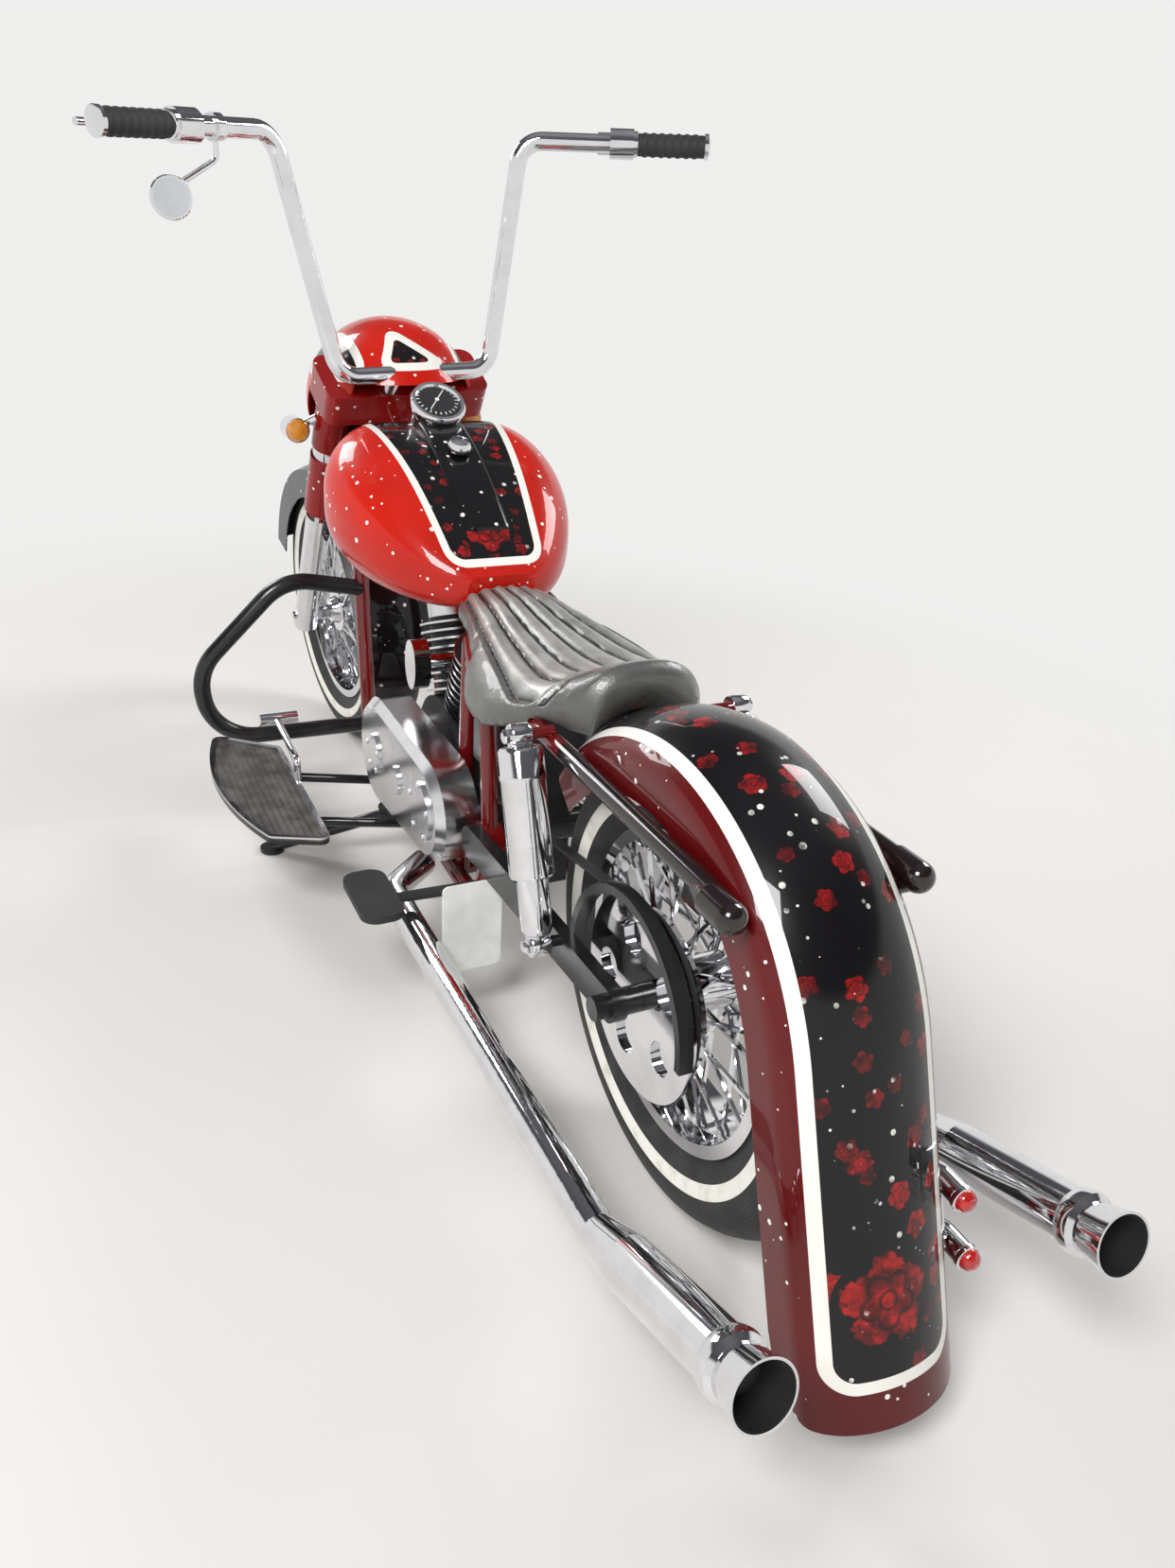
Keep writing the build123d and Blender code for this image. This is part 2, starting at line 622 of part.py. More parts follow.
with BuildPart() as gearbox:
    with BuildSketch(Plane.XY.offset(GEARBOX_Z[0])):
        with Locations(((GEARBOX_X[0] + GEARBOX_X[1]) / 2, 0)):
            Rectangle(GEARBOX_X[1] - GEARBOX_X[0], 2 * GEARBOX_HALF_WIDTH)
    extrude(amount=GEARBOX_Z[1] - GEARBOX_Z[0])
    add(crankcase.part, mode=Mode.SUBTRACT)
    belt_y = HUB_LENGTH / 2 + 2
    sprocket_face = HUB_LENGTH / 2 + PULLEY_WIDTH
    add(rod((SPROCKET_X, GEARBOX_HALF_WIDTH, PIVOT[1]), (SPROCKET_X, sprocket_face, PIVOT[1]), SPROCKET_RADIUS))
    with BuildSketch(Plane.XY.offset(GEARBOX_Z[1])):
        with Locations(((OIL_TANK_X[0] + OIL_TANK_X[1]) / 2, 0)):
            RectangleRounded(OIL_TANK_X[1] - OIL_TANK_X[0], 2 * OIL_TANK_HALF_WIDTH, 30)
    extrude(amount=OIL_TANK_TOP - GEARBOX_Z[1])

with BuildPart() as drive_belt:
    # Endless belt round the gearbox sprocket and the rear pulley
    for grow, mode in ((BELT_THICKNESS, Mode.ADD), (0, Mode.SUBTRACT)):
        with BuildSketch(upright((0, BELT_Y[1], 0))):
            with Locations(REAR_AXLE[::2]):
                Circle(PULLEY_RADIUS + SEAT_GAP + grow)
            with Locations((SPROCKET_X, PIVOT[1])):
                Circle(SPROCKET_RADIUS + grow)
            make_hull()
        extrude(amount=BELT_Y[1] - BELT_Y[0], mode=mode)

with BuildPart() as primary_cover:
    with BuildSketch(upright((0, PRIMARY_Y[1], 0))):
        for x, z, radius in (PRIMARY_FRONT, PRIMARY_REAR):
            with Locations((x, z)):
                Circle(radius)
        make_hull()
    extrude(amount=PRIMARY_Y[1] - PRIMARY_Y[0])
    chamfer(faces().sort_by(Axis.Y)[-1].edges(), 14)
    for x, z, radius in PRIMARY_LIDS:
        add(rod((x, PRIMARY_Y[1] - 2, z), (x, PRIMARY_Y[1] + 5, z), radius))
    add(rod((PRIMARY_FRONT[0], CASE_HALF_WIDTH, PRIMARY_FRONT[1]), (PRIMARY_FRONT[0], PRIMARY_Y[0], PRIMARY_FRONT[1]), 60))
    add(rod((SPROCKET_X, sprocket_face, PIVOT[1]), (SPROCKET_X, PRIMARY_Y[0], PIVOT[1]), 26))

with BuildPart() as air_cleaner:
    # Round cover over the carburettor, between the cylinders on the right
    seat = FIN_RADIUS + 4
    with BuildSketch(upright((CRANK[0], -seat - 22, CRANK[1] + 205))):
        Circle(84)
    extrude(amount=52, taper=8)
    add(rod((CRANK[0], 0, CRANK[1] + 205), (CRANK[0], -seat - 22, CRANK[1] + 205), 26))
    add(cylinders.part, mode=Mode.SUBTRACT)

with BuildPart() as horn_cover:
    seat = FIN_RADIUS + 4
    with BuildSketch(upright((CRANK[0], seat + 48, CRANK[1] + 190))):
        Ellipse(30, 46)
    extrude(amount=30)
    add(rod((CRANK[0], 0, CRANK[1] + 190), (CRANK[0], seat + 18, CRANK[1] + 190), 16))
    add(cylinders.part, mode=Mode.SUBTRACT)

kink = Vector(KINK_X, PIPE_Y, PIPE_HEIGHT)
mouth = Vector(*MOUTH)
muffler_way = (mouth - kink).normalized()

with BuildPart() as muffler:
    # Cone, straight can, collar and flared mouth, hollow at its end
    with BuildSketch(Plane(origin=kink - muffler_way * 8, z_dir=muffler_way)):
        Circle(MUFFLER_RADIUS - 9)
    with BuildSketch(Plane(origin=kink + muffler_way * 70, z_dir=muffler_way)):
        Circle(MUFFLER_RADIUS)
    loft()
    add(rod(kink + muffler_way * 70, mouth - muffler_way * 50, MUFFLER_RADIUS))
    with BuildSketch(Plane(origin=mouth - muffler_way * 50, z_dir=muffler_way)):
        Circle(MUFFLER_RADIUS - 4)
    with BuildSketch(Plane(origin=mouth, z_dir=muffler_way)):
        Circle(MOUTH_RADIUS)
    loft()
    add(rod(mouth - muffler_way * 62, mouth - muffler_way * 46, MUFFLER_RADIUS + 2))
    with BuildSketch(Plane(origin=mouth - muffler_way * 58, z_dir=muffler_way)):
        Circle(MUFFLER_RADIUS - 10)
    with BuildSketch(Plane(origin=mouth + muffler_way * 2, z_dir=muffler_way)):
        Circle(MOUTH_RADIUS - MOUTH_WALL)
    loft(mode=Mode.SUBTRACT)
exhaust_ends = muffler.part

with BuildPart() as exhaust_left:
    path = [(PIPE_FRONT_X, 150, 158), (PIPE_FRONT_X - 90, PIPE_Y, PIPE_HEIGHT), tuple(kink)]
    add(tube(path, PIPE_RADIUS, bend=60))
    add(exhaust_ends)
    add(rod((PIPE_BRACKET_X, RAIL_HALF_SPACING + 20, RAIL_HEIGHT), (PIPE_BRACKET_X, PIPE_Y, PIPE_HEIGHT), 8))
    add(frame.part, mode=Mode.SUBTRACT)

with BuildPart() as exhaust_right:
    path = [
        (1000, -30, 492), (1062, -120, 440), (1046, -190, 240),
        (PIPE_FRONT_X + 180, -PIPE_Y, PIPE_HEIGHT), (KINK_X, -PIPE_Y, PIPE_HEIGHT),
    ]
    add(tube(path, PIPE_RADIUS, bend=50))
    add(mirror(exhaust_ends, about=Plane.XZ))
    add(rod((PIPE_BRACKET_X, -RAIL_HALF_SPACING - 20, RAIL_HEIGHT), (PIPE_BRACKET_X, -PIPE_Y, PIPE_HEIGHT), 8))
    add(frame.part, mode=Mode.SUBTRACT)
    add(cylinders.part, mode=Mode.SUBTRACT)

with BuildPart() as seat:
    seat_rows = [(x, half, low + TOP_RAIL_HEIGHT, high + TOP_RAIL_HEIGHT) for x, half, low, high in SEAT_SECTIONS]
    add(domed(blended(seat_rows)))
    # The pan lies on the rails, and the side skirts hang outside them
    rail_top = TOP_RAIL_HEIGHT + TOP_RAIL_RADIUS + SEAT_GAP
    with Locations((440, 0, rail_top - 50)):
        Box(640, 2 * (TOP_RAIL_HALF_SPACING + POST_RADIUS + SEAT_GAP), 100, mode=Mode.SUBTRACT)
    add(fender_fill, mode=Mode.SUBTRACT)
    add(rod(neck_mid, backbone_end, BACKBONE_RADIUS + SEAT_GAP), mode=Mode.SUBTRACT)

tank_shape = lofted(TANK_SECTIONS)

with BuildPart() as fuel_tank:
    add(tank_shape)
    inner = [
        (x, half_width - TANK_WALL, low + TANK_WALL, high - TANK_WALL, corner - TANK_WALL)
        for x, half_width, low, high, corner in TANK_SECTIONS
    ]
    inner[0] = (inner[0][0] + TANK_WALL,) + inner[0][1:]
    inner[-1] = (inner[-1][0] - TANK_WALL,) + inner[-1][1:]
    with BuildPart() as cavity:
        add(lofted(inner))
        add(rod(neck_mid, backbone_end, BACKBONE_RADIUS + SEAT_GAP + TANK_WALL), mode=Mode.SUBTRACT)
    add(cavity.part, mode=Mode.SUBTRACT)
    add(rod(neck_mid, backbone_end, BACKBONE_RADIUS + SEAT_GAP), mode=Mode.SUBTRACT)

with BuildPart() as dash:
    rows = []
    for (x, half_width, low, high, corner), rise in zip(TANK_SECTIONS[1:5], DASH_RISES):
        rows.append((x, DASH_HALF_WIDTH, high - 30, high + rise, 10))
    add(lofted(rows))
    add(tank_shape, mode=Mode.SUBTRACT)

with BuildPart() as speedometer:
    tilt = radians(SPEEDO_TILT)
    face = Vector(-sin(tilt), 0, cos(tilt))
    centre = Vector(SPEEDO[0], 0, SPEEDO[1])
    add(rod(centre - face * SPEEDO_DEPTH, centre + face * 6, SPEEDO_RADIUS))
    add(tank_shape, mode=Mode.SUBTRACT)
    add(dash.part, mode=Mode.SUBTRACT)

with BuildPart() as crash_bar:
    for side in (1, -1):
        loop = [
            (1302, side * (RAIL_HALF_SPACING + 4), 488), (1290, side * 250, 522), (1290, side * 432, 342),
            (1290, side * 415, 188), (1275, side * (RAIL_HALF_SPACING + 4), 190),
        ]
        add(tube(loop, CRASH_BAR_RADIUS, bend=CRASH_BAR_BEND))
    add(frame.part, mode=Mode.SUBTRACT)

with BuildPart() as board:
    # A half-moon with a raised rim
    with BuildSketch(Plane.XY.offset(BOARD_Z)) as outline:
        with BuildLine():
            Polyline(BOARD_TAIL, (BOARD_X[0], BOARD_Y), (BOARD_X[1], BOARD_Y), BOARD_NOSE)
            ThreePointArc(BOARD_NOSE, BOARD_SIDE, BOARD_TAIL)
        make_face()
        fillet(outline.vertices(), 16)
    extrude(amount=BOARD_THICKNESS)
    with BuildSketch(Plane.XY.offset(BOARD_Z + BOARD_THICKNESS - 5)):
        add(outline.sketch.moved(Location((0, 0, BOARD_THICKNESS - 5))))
        offset(amount=-BOARD_RIM, mode=Mode.REPLACE)
    extrude(amount=8, mode=Mode.SUBTRACT)

with BuildPart() as floorboard_left:
    add(board.part)
    for x in BOARD_BRACKETS:
        add(rod((x, RAIL_HALF_SPACING + 10, RAIL_HEIGHT), (x, BOARD_Y + 40, BOARD_Z + 2), 9))
    add(frame.part, mode=Mode.SUBTRACT)

with BuildPart() as floorboard_right:
    # Its brackets pass under the exhaust pipe
    add(mirror(board.part, about=Plane.XZ))
    for x in BOARD_BRACKETS:
        low = PIPE_HEIGHT - PIPE_RADIUS - 20
        start = (x, -RAIL_HALF_SPACING - 12, RAIL_HEIGHT - 6)
        add(tube([start, (x, -150, low), (x, 16 - BOARD_Y, low), (x, -BOARD_Y - 40, BOARD_Z + 2)], 9, bend=18))
    add(frame.part, mode=Mode.SUBTRACT)
    add(rod((1030, 4 - BOARD_Y, BOARD_Z), (1030, 4 - BOARD_Y, BOARD_Z + 30), 8))
    bend = (1140, 4 - BOARD_Y, BOARD_Z + 44)
    add(tube([(1030, 4 - BOARD_Y, BOARD_Z + 30), bend, (1200, -BOARD_Y - 30, BOARD_Z + 60)], 8, bend=20))
    with BuildSketch(Plane.XY.offset(BOARD_Z + 56)):
        with Locations((1205, -BOARD_Y - 40)):
            RectangleRounded(60, 74, 12)
    extrude(amount=14)

with BuildPart() as shift_lever:
    side_y = BOARD_Y - 4
    lever = [(1030, side_y, BOARD_Z), (1030, side_y, BOARD_Z + 40), (1210, side_y, BOARD_Z + 56)]
    add(tube(lever, 7, bend=12))
    add(rod((1210, side_y - 42, BOARD_Z + 56), (1210, side_y + 34, BOARD_Z + 56), 13))
    add(floorboard_left.part, mode=Mode.SUBTRACT)

with BuildPart() as passenger_pegs:
    for side in (1, -1):
        add(rod((PEG[0] - 6, side * 106, PEG[2] - 6), (PEG[0] - 6, side * (PEG[1] + 28), PEG[2]), 9))
        with BuildSketch(Plane.XY.offset(PEG[2])):
            with Locations((PEG[0], side * PEG[1])):
                RectangleRounded(PEG_SIZE[0], PEG_SIZE[1], 26)
        extrude(amount=PEG_SIZE[2])
    add(frame.part, mode=Mode.SUBTRACT)

with BuildPart() as number_plate:
    middle = ((PLATE_Y[0] + PLATE_Y[1]) / 2, (PLATE_Z[0] + PLATE_Z[1]) / 2)
    with BuildSketch(Plane(origin=(PLATE_X, 0, 0), x_dir=(0, 1, 0), z_dir=(1, 0, 0))):
        with Locations(middle):
            RectangleRounded(PLATE_Y[1] - PLATE_Y[0], PLATE_Z[1] - PLATE_Z[0], 10)
    extrude(amount=3)
    add(rod((PLATE_X + 2, PLATE_Y[0] + 18, 182), (514, 104, 182), 7))
    add(frame.part, mode=Mode.SUBTRACT)

with BuildPart() as tail_lamps:
    # Two bullet lamps, one over the other, on the right flank of the fender
    for x, z in TAIL_LAMPS:
        with BuildSketch(Plane(origin=(x, -TAIL_LAMP_Y, z), x_dir=(1, 0, 0), z_dir=(0, -1, 0))):
            with BuildLine():
                Polyline((-27, 0), (-27, TAIL_LAMP_RADIUS - 3), (-22, TAIL_LAMP_RADIUS), (4, TAIL_LAMP_RADIUS))
                Spline((4, TAIL_LAMP_RADIUS), (27, TAIL_LAMP_RADIUS * 0.72), (38, 0), tangents=((1, 0), (0, -1)))
                Line((38, 0), (-27, 0))
            make_face()
        revolve(axis=Axis((x, -TAIL_LAMP_Y, z), (1, 0, 0)))
        add(rod((x, -FENDER_HALF_WIDTH - SEAT_GAP, z), (x, -TAIL_LAMP_Y, z), 8))
    low, high = TAIL_LAMPS[1], TAIL_LAMPS[0]
    add(rod((low[0], -FENDER_HALF_WIDTH - 9, low[1]), (high[0], -FENDER_HALF_WIDTH - 9, high[1]), 5))

# Steering
with BuildPart() as fork_tubes:
    with BuildSketch(fork_plane(LOWER_TREE[0])):
        with Locations((-FORK_OFFSET, 0)):
            Circle(NECK_RADIUS + 2)
        for side in (1, -1):
            with Locations((0, side * FORK_Y)):
                Circle(FORK_LEG_RADIUS + 2)
        make_hull()
    extrude(amount=LOWER_TREE[1] - LOWER_TREE[0])
    for side in (1, -1):
        low = fork_plane(LEG_END, 0, side * FORK_Y)
        high = fork_plane(FORK_TUBE_TOP, 0, side * FORK_Y)
        add(rod(low.origin, high.origin, FORK_TUBE_RADIUS))
    stem_top = fork_plane(FORK_TUBE_TOP, -FORK_OFFSET)
    add(rod(fork_plane(LOWER_TREE[0], -FORK_OFFSET).origin, stem_top.origin, STEM_RADIUS))

with BuildPart() as fork_legs:
    for side in (1, -1):
        low = fork_plane(-LEG_FOOT, 0, side * FORK_Y)
        high = fork_plane(LEG_END, 0, side * FORK_Y)
        add(rod(low.origin, high.origin, FORK_LEG_RADIUS))
        spacer = (WHEELBASE, side * (HUB_LENGTH / 2 + SEAT_GAP), TYRE_RADIUS)
        add(rod(spacer, (WHEELBASE, side * FORK_Y, TYRE_RADIUS), AXLE_RADIUS + 8))
        lug = fork_plane(305, 0, side * FORK_Y).origin
        add(rod((lug.X, side * (FRONT_HALF_WIDTH + SEAT_GAP), lug.Z), (lug.X, side * FORK_Y, lug.Z), 16))
    end = FORK_Y + FORK_LEG_RADIUS + 6
    add(rod((WHEELBASE, -end, TYRE_RADIUS), (WHEELBASE, end, TYRE_RADIUS), AXLE_RADIUS))

with BuildPart() as fork_covers:
    for side in (1, -1):
        upper = (LOWER_TREE[1] + SEAT_GAP, SHROUD[0] - SEAT_GAP)
        for low, high in ((LEG_END + 20, LOWER_TREE[0] - SEAT_GAP), upper):
            with BuildSketch(fork_plane(low, 0, side * FORK_Y)):
                Circle(COVER_RADIUS)
                Circle(FORK_TUBE_RADIUS + SEAT_GAP, mode=Mode.SUBTRACT)
            extrude(amount=high - low)

with BuildPart() as fork_shroud:
    with BuildSketch(fork_plane(SHROUD[0])):
        with Locations(((SHROUD_FRONT - SHROUD_BACK) / 2, 0)):
            RectangleRounded(SHROUD_FRONT + SHROUD_BACK, 2 * SHROUD_HALF_WIDTH, 24)
    extrude(amount=SHROUD[1] - SHROUD[0])
    for side in (1, -1):
        high = fork_plane(FORK_TUBE_TOP + SEAT_GAP, 0, side * FORK_Y)
        low = fork_plane(SHROUD[0] - 1, 0, side * FORK_Y)
        add(rod(low.origin, high.origin, FORK_TUBE_RADIUS + SEAT_GAP), mode=Mode.SUBTRACT)
    low = fork_plane(SHROUD[0] - 1, -FORK_OFFSET)
    high = fork_plane(FORK_TUBE_TOP + SEAT_GAP, -FORK_OFFSET)
    add(rod(low.origin, high.origin, STEM_RADIUS + SEAT_GAP), mode=Mode.SUBTRACT)

with BuildPart() as nacelle:
    # Domed sheet housing, cut away over the fork, with the headlamp in its mouth and the bar through its rear
    for thick, mode in ((0, Mode.ADD), (NACELLE_WALL, Mode.SUBTRACT)):
        r = NACELLE_RADIUS - thick
        rear_x = NACELLE_REAR_X + thick
        rows = []
        for step, share in NACELLE_PROFILE:
            back = thick if step < -200 or step == 0 else 0
            rows.append((NACELLE_FRONT_X + step + back, r * share))
        with BuildSketch(Plane(origin=(0, 0, NACELLE_HEIGHT), x_dir=(1, 0, 0), z_dir=(0, -1, 0))):
            with BuildLine():
                Spline((rear_x, 0), *rows, tangents=((0, 1), (1, -0.9)))
                Polyline(rows[-1], (rows[-1][0], 0), (rear_x, 0))
            make_face()
        revolve(axis=Axis((0, 0, NACELLE_HEIGHT), (1, 0, 0)), mode=mode)
    with BuildSketch(fork_plane(SHROUD[1] + SEAT_GAP)):
        with Locations((COVER_RADIUS + SEAT_GAP - 200, 0)):
            Rectangle(400, 400)
    extrude(amount=-400, mode=Mode.SUBTRACT)
    hem = NACELLE_REAR_X + 74
    with BuildSketch(Plane.XY.offset(NACELLE_HEM)):
        with Locations((hem - 100, 0)):
            Rectangle(200, 400)
    extrude(amount=-200, mode=Mode.SUBTRACT)
    add(rod((BAR_BASE[0], -210, BAR_BASE[2]), (BAR_BASE[0], 210, BAR_BASE[2]), BAR_RADIUS + SEAT_GAP), mode=Mode.SUBTRACT)

with BuildPart() as headlamp:
    bezel = NACELLE_FRONT_X
    add(rod((bezel - 30, 0, NACELLE_HEIGHT), (bezel + 18, 0, NACELLE_HEIGHT), LAMP_RADIUS - 4))
    add(rod((bezel, 0, NACELLE_HEIGHT), (bezel + 14, 0, NACELLE_HEIGHT), LAMP_RADIUS + 9))

with BuildPart() as front_fender:
    rear = radians(FRONT_FENDER_ANGLES[1])
    joint = Plane(origin=FRONT_AXLE, x_dir=(0, 1, 0), z_dir=(sin(rear), 0, -cos(rear)))
    section = (FRONT_CROWN_RADIUS, FRONT_SHOULDER_RADIUS, FRONT_HALF_WIDTH, FRONT_SKIRT_RADIUS, FENDER_WALL)
    add(fender_section(joint, *section))
    revolve(axis=Axis(FRONT_AXLE, (0, 1, 0)), revolution_arc=FRONT_FENDER_ANGLES[1] - FRONT_FENDER_ANGLES[0])

with BuildPart() as handlebar:
    left = [BAR_END, BAR_BEND, BAR_BASE]
    path = left + mirrored(reversed(left))
    add(tube(path, BAR_RADIUS, bend=46))
    for side in (1, -1):
        riser = fork_plane(SHROUD[1] + SEAT_GAP, 22 - SHROUD_BACK, side * RISER_Y)
        add(rod(riser.origin, (BAR_BASE[0], side * RISER_Y, BAR_BASE[2]), 20))
    add(fork_shroud.part, mode=Mode.SUBTRACT)

bar_way = (Vector(*BAR_END) - Vector(*BAR_BEND)).normalized()

with BuildPart() as grips:
    for side in (1, -1):
        way = Vector(bar_way.X, side * bar_way.Y, bar_way.Z)
        end = Vector(BAR_END[0], side * BAR_END[1], BAR_END[2])
        add(rod(end - way * GRIP_LENGTH, end + way * 3, GRIP_RADIUS))
    add(handlebar.part, mode=Mode.SUBTRACT)

with BuildPart() as controls:
    # Clamp, switch housing and lever beside each grip
    ahead = Vector(0, 0, 1).cross(bar_way).normalized() * -1
    for side in (1, -1):
        way = Vector(bar_way.X, side * bar_way.Y, bar_way.Z)
        front = Vector(ahead.X, side * ahead.Y, ahead.Z)
        end = Vector(BAR_END[0], side * BAR_END[1], BAR_END[2])
        clamp = end - way * (GRIP_LENGTH + 2)
        add(rod(clamp - way * 44, clamp, 26))
        with BuildSketch(Plane(origin=clamp - way * 66 + front * 27, x_dir=front, z_dir=way)):
            RectangleRounded(54, 38, 9)
        extrude(amount=62)
        pivot = clamp - way * 26 + front * 46
        add(rod(clamp - way * 26, pivot, 12))
        add(tube([pivot, pivot + way * 40 + front * 12, end + front * 44 + way * 6], 6, bend=20))
    add(handlebar.part, mode=Mode.SUBTRACT)

with BuildPart() as mirror_left:
    clamp = Vector(*BAR_END) - bar_way * (GRIP_LENGTH + 88)
    centre = Vector(*MIRROR)
    add(tube([clamp, clamp + Vector(10, 0, -46), centre + Vector(8, 0, 10)], 5, bend=14))
    add(rod(clamp - bar_way * 8, clamp + bar_way * 8, 21))
    add(rod(centre + Vector(12, 0, 0), centre, MIRROR_RADIUS))
    add(handlebar.part, mode=Mode.SUBTRACT)

with BuildPart() as fork_lamps:
    for side in (1, -1):
        root = fork_plane(600, 0, side * (FORK_Y + COVER_RADIUS - 3)).origin
        lamp = Vector(FORK_LAMP[0], side * FORK_LAMP[1], FORK_LAMP[2])
        add(rod(root, lamp, 8))
        add(rod(lamp - Vector(26, 0, 0), lamp + Vector(18, 0, 0), 24))
    add(fork_covers.part, mode=Mode.SUBTRACT)
    add(fork_tubes.part, mode=Mode.SUBTRACT)

# Side stand
floor_up = Vector(0, -sin(radians(LEAN)), cos(radians(LEAN)))
foot_y = STAND_FOOT[1] * cos(radians(LEAN))
foot = Vector(STAND_FOOT[0], foot_y, STAND_FOOT[1] * sin(radians(LEAN))) - floor_up * TYRE_DROP
pivot = Vector(*STAND_PIVOT)
leg_way = (foot - pivot).normalized()
stand_axis = leg_way.cross(Vector(*STAND_FOLDED)).normalized()

with BuildPart() as side_stand:
    add(rod(pivot - stand_axis * STAND_EYE_HALF, pivot + stand_axis * STAND_EYE_HALF, 20))
    add(rod(pivot, foot + floor_up * STAND_PAD_THICKNESS, STAND_RADIUS))
    add(rod(foot, foot + floor_up * STAND_PAD_THICKNESS, STAND_PAD_RADIUS))
    with BuildSketch(Plane(origin=foot, z_dir=floor_up)):
        Rectangle(200, 200)
    extrude(amount=-60, mode=Mode.SUBTRACT)
    add(rod(pivot - stand_axis * 30, pivot + stand_axis * 30, STAND_PIN_RADIUS + SEAT_GAP), mode=Mode.SUBTRACT)

with BuildPart() as stand_bracket:
    lug = pivot + stand_axis * (STAND_EYE_HALF + SEAT_GAP)
    keeper = pivot - stand_axis * (STAND_EYE_HALF + SEAT_GAP)
    add(rod(keeper - stand_axis * 6, lug + stand_axis * 10, STAND_PIN_RADIUS))
    add(rod(keeper - stand_axis * 6, keeper, 14))
    add(rod(lug, lug + stand_axis * 10, 20))
    add(rod(lug + stand_axis * 5, (STAND_PIVOT[0], RAIL_HALF_SPACING, RAIL_HEIGHT), 9))
    add(frame.part, mode=Mode.SUBTRACT)
    with BuildSketch(Plane(origin=lug, z_dir=stand_axis)):
        Circle(40)
        Circle(STAND_PIN_RADIUS, mode=Mode.SUBTRACT)
    extrude(amount=-2 * (STAND_EYE_HALF + SEAT_GAP), mode=Mode.SUBTRACT)

STEERED = {
    "fork_tubes": fork_tubes, "fork_legs": fork_legs, "fork_covers": fork_covers, "fork_shroud": fork_shroud,
    "nacelle": nacelle, "headlamp": headlamp, "front_fender": front_fender, "handlebar": handlebar,
    "grips": grips, "controls": controls, "mirror_left": mirror_left, "fork_lamps": fork_lamps,
    "front_rim": front_rim, "front_tyre": front_tyre,
}
STANDING = {
    "frame": frame, "swingarm": swingarm, "shock_left": shock_left, "shock_right": shock_right,
    "rear_fender": rear_fender, "crankcase": crankcase, "cylinders": cylinders, "gearbox": gearbox,
    "drive_belt": drive_belt, "primary_cover": primary_cover, "air_cleaner": air_cleaner,
    "horn_cover": horn_cover, "exhaust_left": exhaust_left, "exhaust_right": exhaust_right, "seat": seat,
    "fuel_tank": fuel_tank, "dash": dash, "speedometer": speedometer, "crash_bar": crash_bar,
    "floorboard_left": floorboard_left, "floorboard_right": floorboard_right, "shift_lever": shift_lever,
    "passenger_pegs": passenger_pegs, "number_plate": number_plate, "tail_lamps": tail_lamps,
    "stand_bracket": stand_bracket, "rear_rim": rear_rim, "rear_tyre": rear_tyre, "rear_pulley": rear_pulley,
    "side_stand": side_stand,
}

placed = {}
for name, piece in (STEERED | STANDING).items():
    solid = piece.part
    if name in STEERED:
        solid = solid.rotate(STEER_AXIS, STEER_AT_REST)
    placed[name] = solid.rotate(Axis.X, -LEAN)
boxes = [solid.bounding_box() for solid in placed.values()]
middle_x = (min(box.min.X for box in boxes) + max(box.max.X for box in boxes)) / 2
middle_y = (min(box.min.Y for box in boxes) + max(box.max.Y for box in boxes)) / 2
floor_z = min(box.min.Z for box in boxes)

os.makedirs("parts", exist_ok=True)
for name, solid in placed.items():
    solid = solid.translate((-middle_x, -middle_y, -floor_z))
    solid.label = name
    export_step(solid, f"parts/{name}.step")
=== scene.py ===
"""The look of a low, long V-twin motorcycle with a high handlebar, full fenders and wire wheels.

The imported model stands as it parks: it leans on its side stand and its front wheel is turned a little. Sizes
and places below are given for the upright machine, in metres: X forward from the rear axle, Y to the rider's
left, Z up from the floor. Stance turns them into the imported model's own frame.
"""
import json
import logging
import math
from dataclasses import dataclass
from enum import Enum
from functools import cache
from typing import Any, Callable, Iterable, Optional, Sequence, Union

import bpy
from bpy.types import Material, Node, NodeSocket, Object
from mathutils import Matrix, Vector

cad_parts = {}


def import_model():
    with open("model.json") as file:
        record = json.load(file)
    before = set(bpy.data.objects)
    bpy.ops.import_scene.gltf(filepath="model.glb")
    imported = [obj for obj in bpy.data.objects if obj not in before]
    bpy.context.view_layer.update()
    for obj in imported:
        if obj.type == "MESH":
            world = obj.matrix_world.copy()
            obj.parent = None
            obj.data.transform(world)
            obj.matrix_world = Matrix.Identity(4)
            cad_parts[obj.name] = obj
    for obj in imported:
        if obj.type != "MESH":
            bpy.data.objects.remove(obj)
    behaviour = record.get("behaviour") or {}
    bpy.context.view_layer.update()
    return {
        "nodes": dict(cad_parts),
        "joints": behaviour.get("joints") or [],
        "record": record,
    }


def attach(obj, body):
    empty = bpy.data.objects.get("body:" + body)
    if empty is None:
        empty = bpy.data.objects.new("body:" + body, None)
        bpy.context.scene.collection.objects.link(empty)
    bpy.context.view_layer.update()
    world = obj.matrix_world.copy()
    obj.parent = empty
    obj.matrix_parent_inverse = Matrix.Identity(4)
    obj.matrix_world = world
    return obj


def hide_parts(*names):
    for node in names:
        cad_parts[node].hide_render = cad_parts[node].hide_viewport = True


LOG = logging.getLogger("motorcycle")
Colour = tuple[float, float, float]
Place = tuple[float, float, float]
Rings = Sequence[tuple[float, float]]
Number = Union[float, "Num"]
Input = Union[float, Colour, Sequence[float], "Num", NodeSocket]

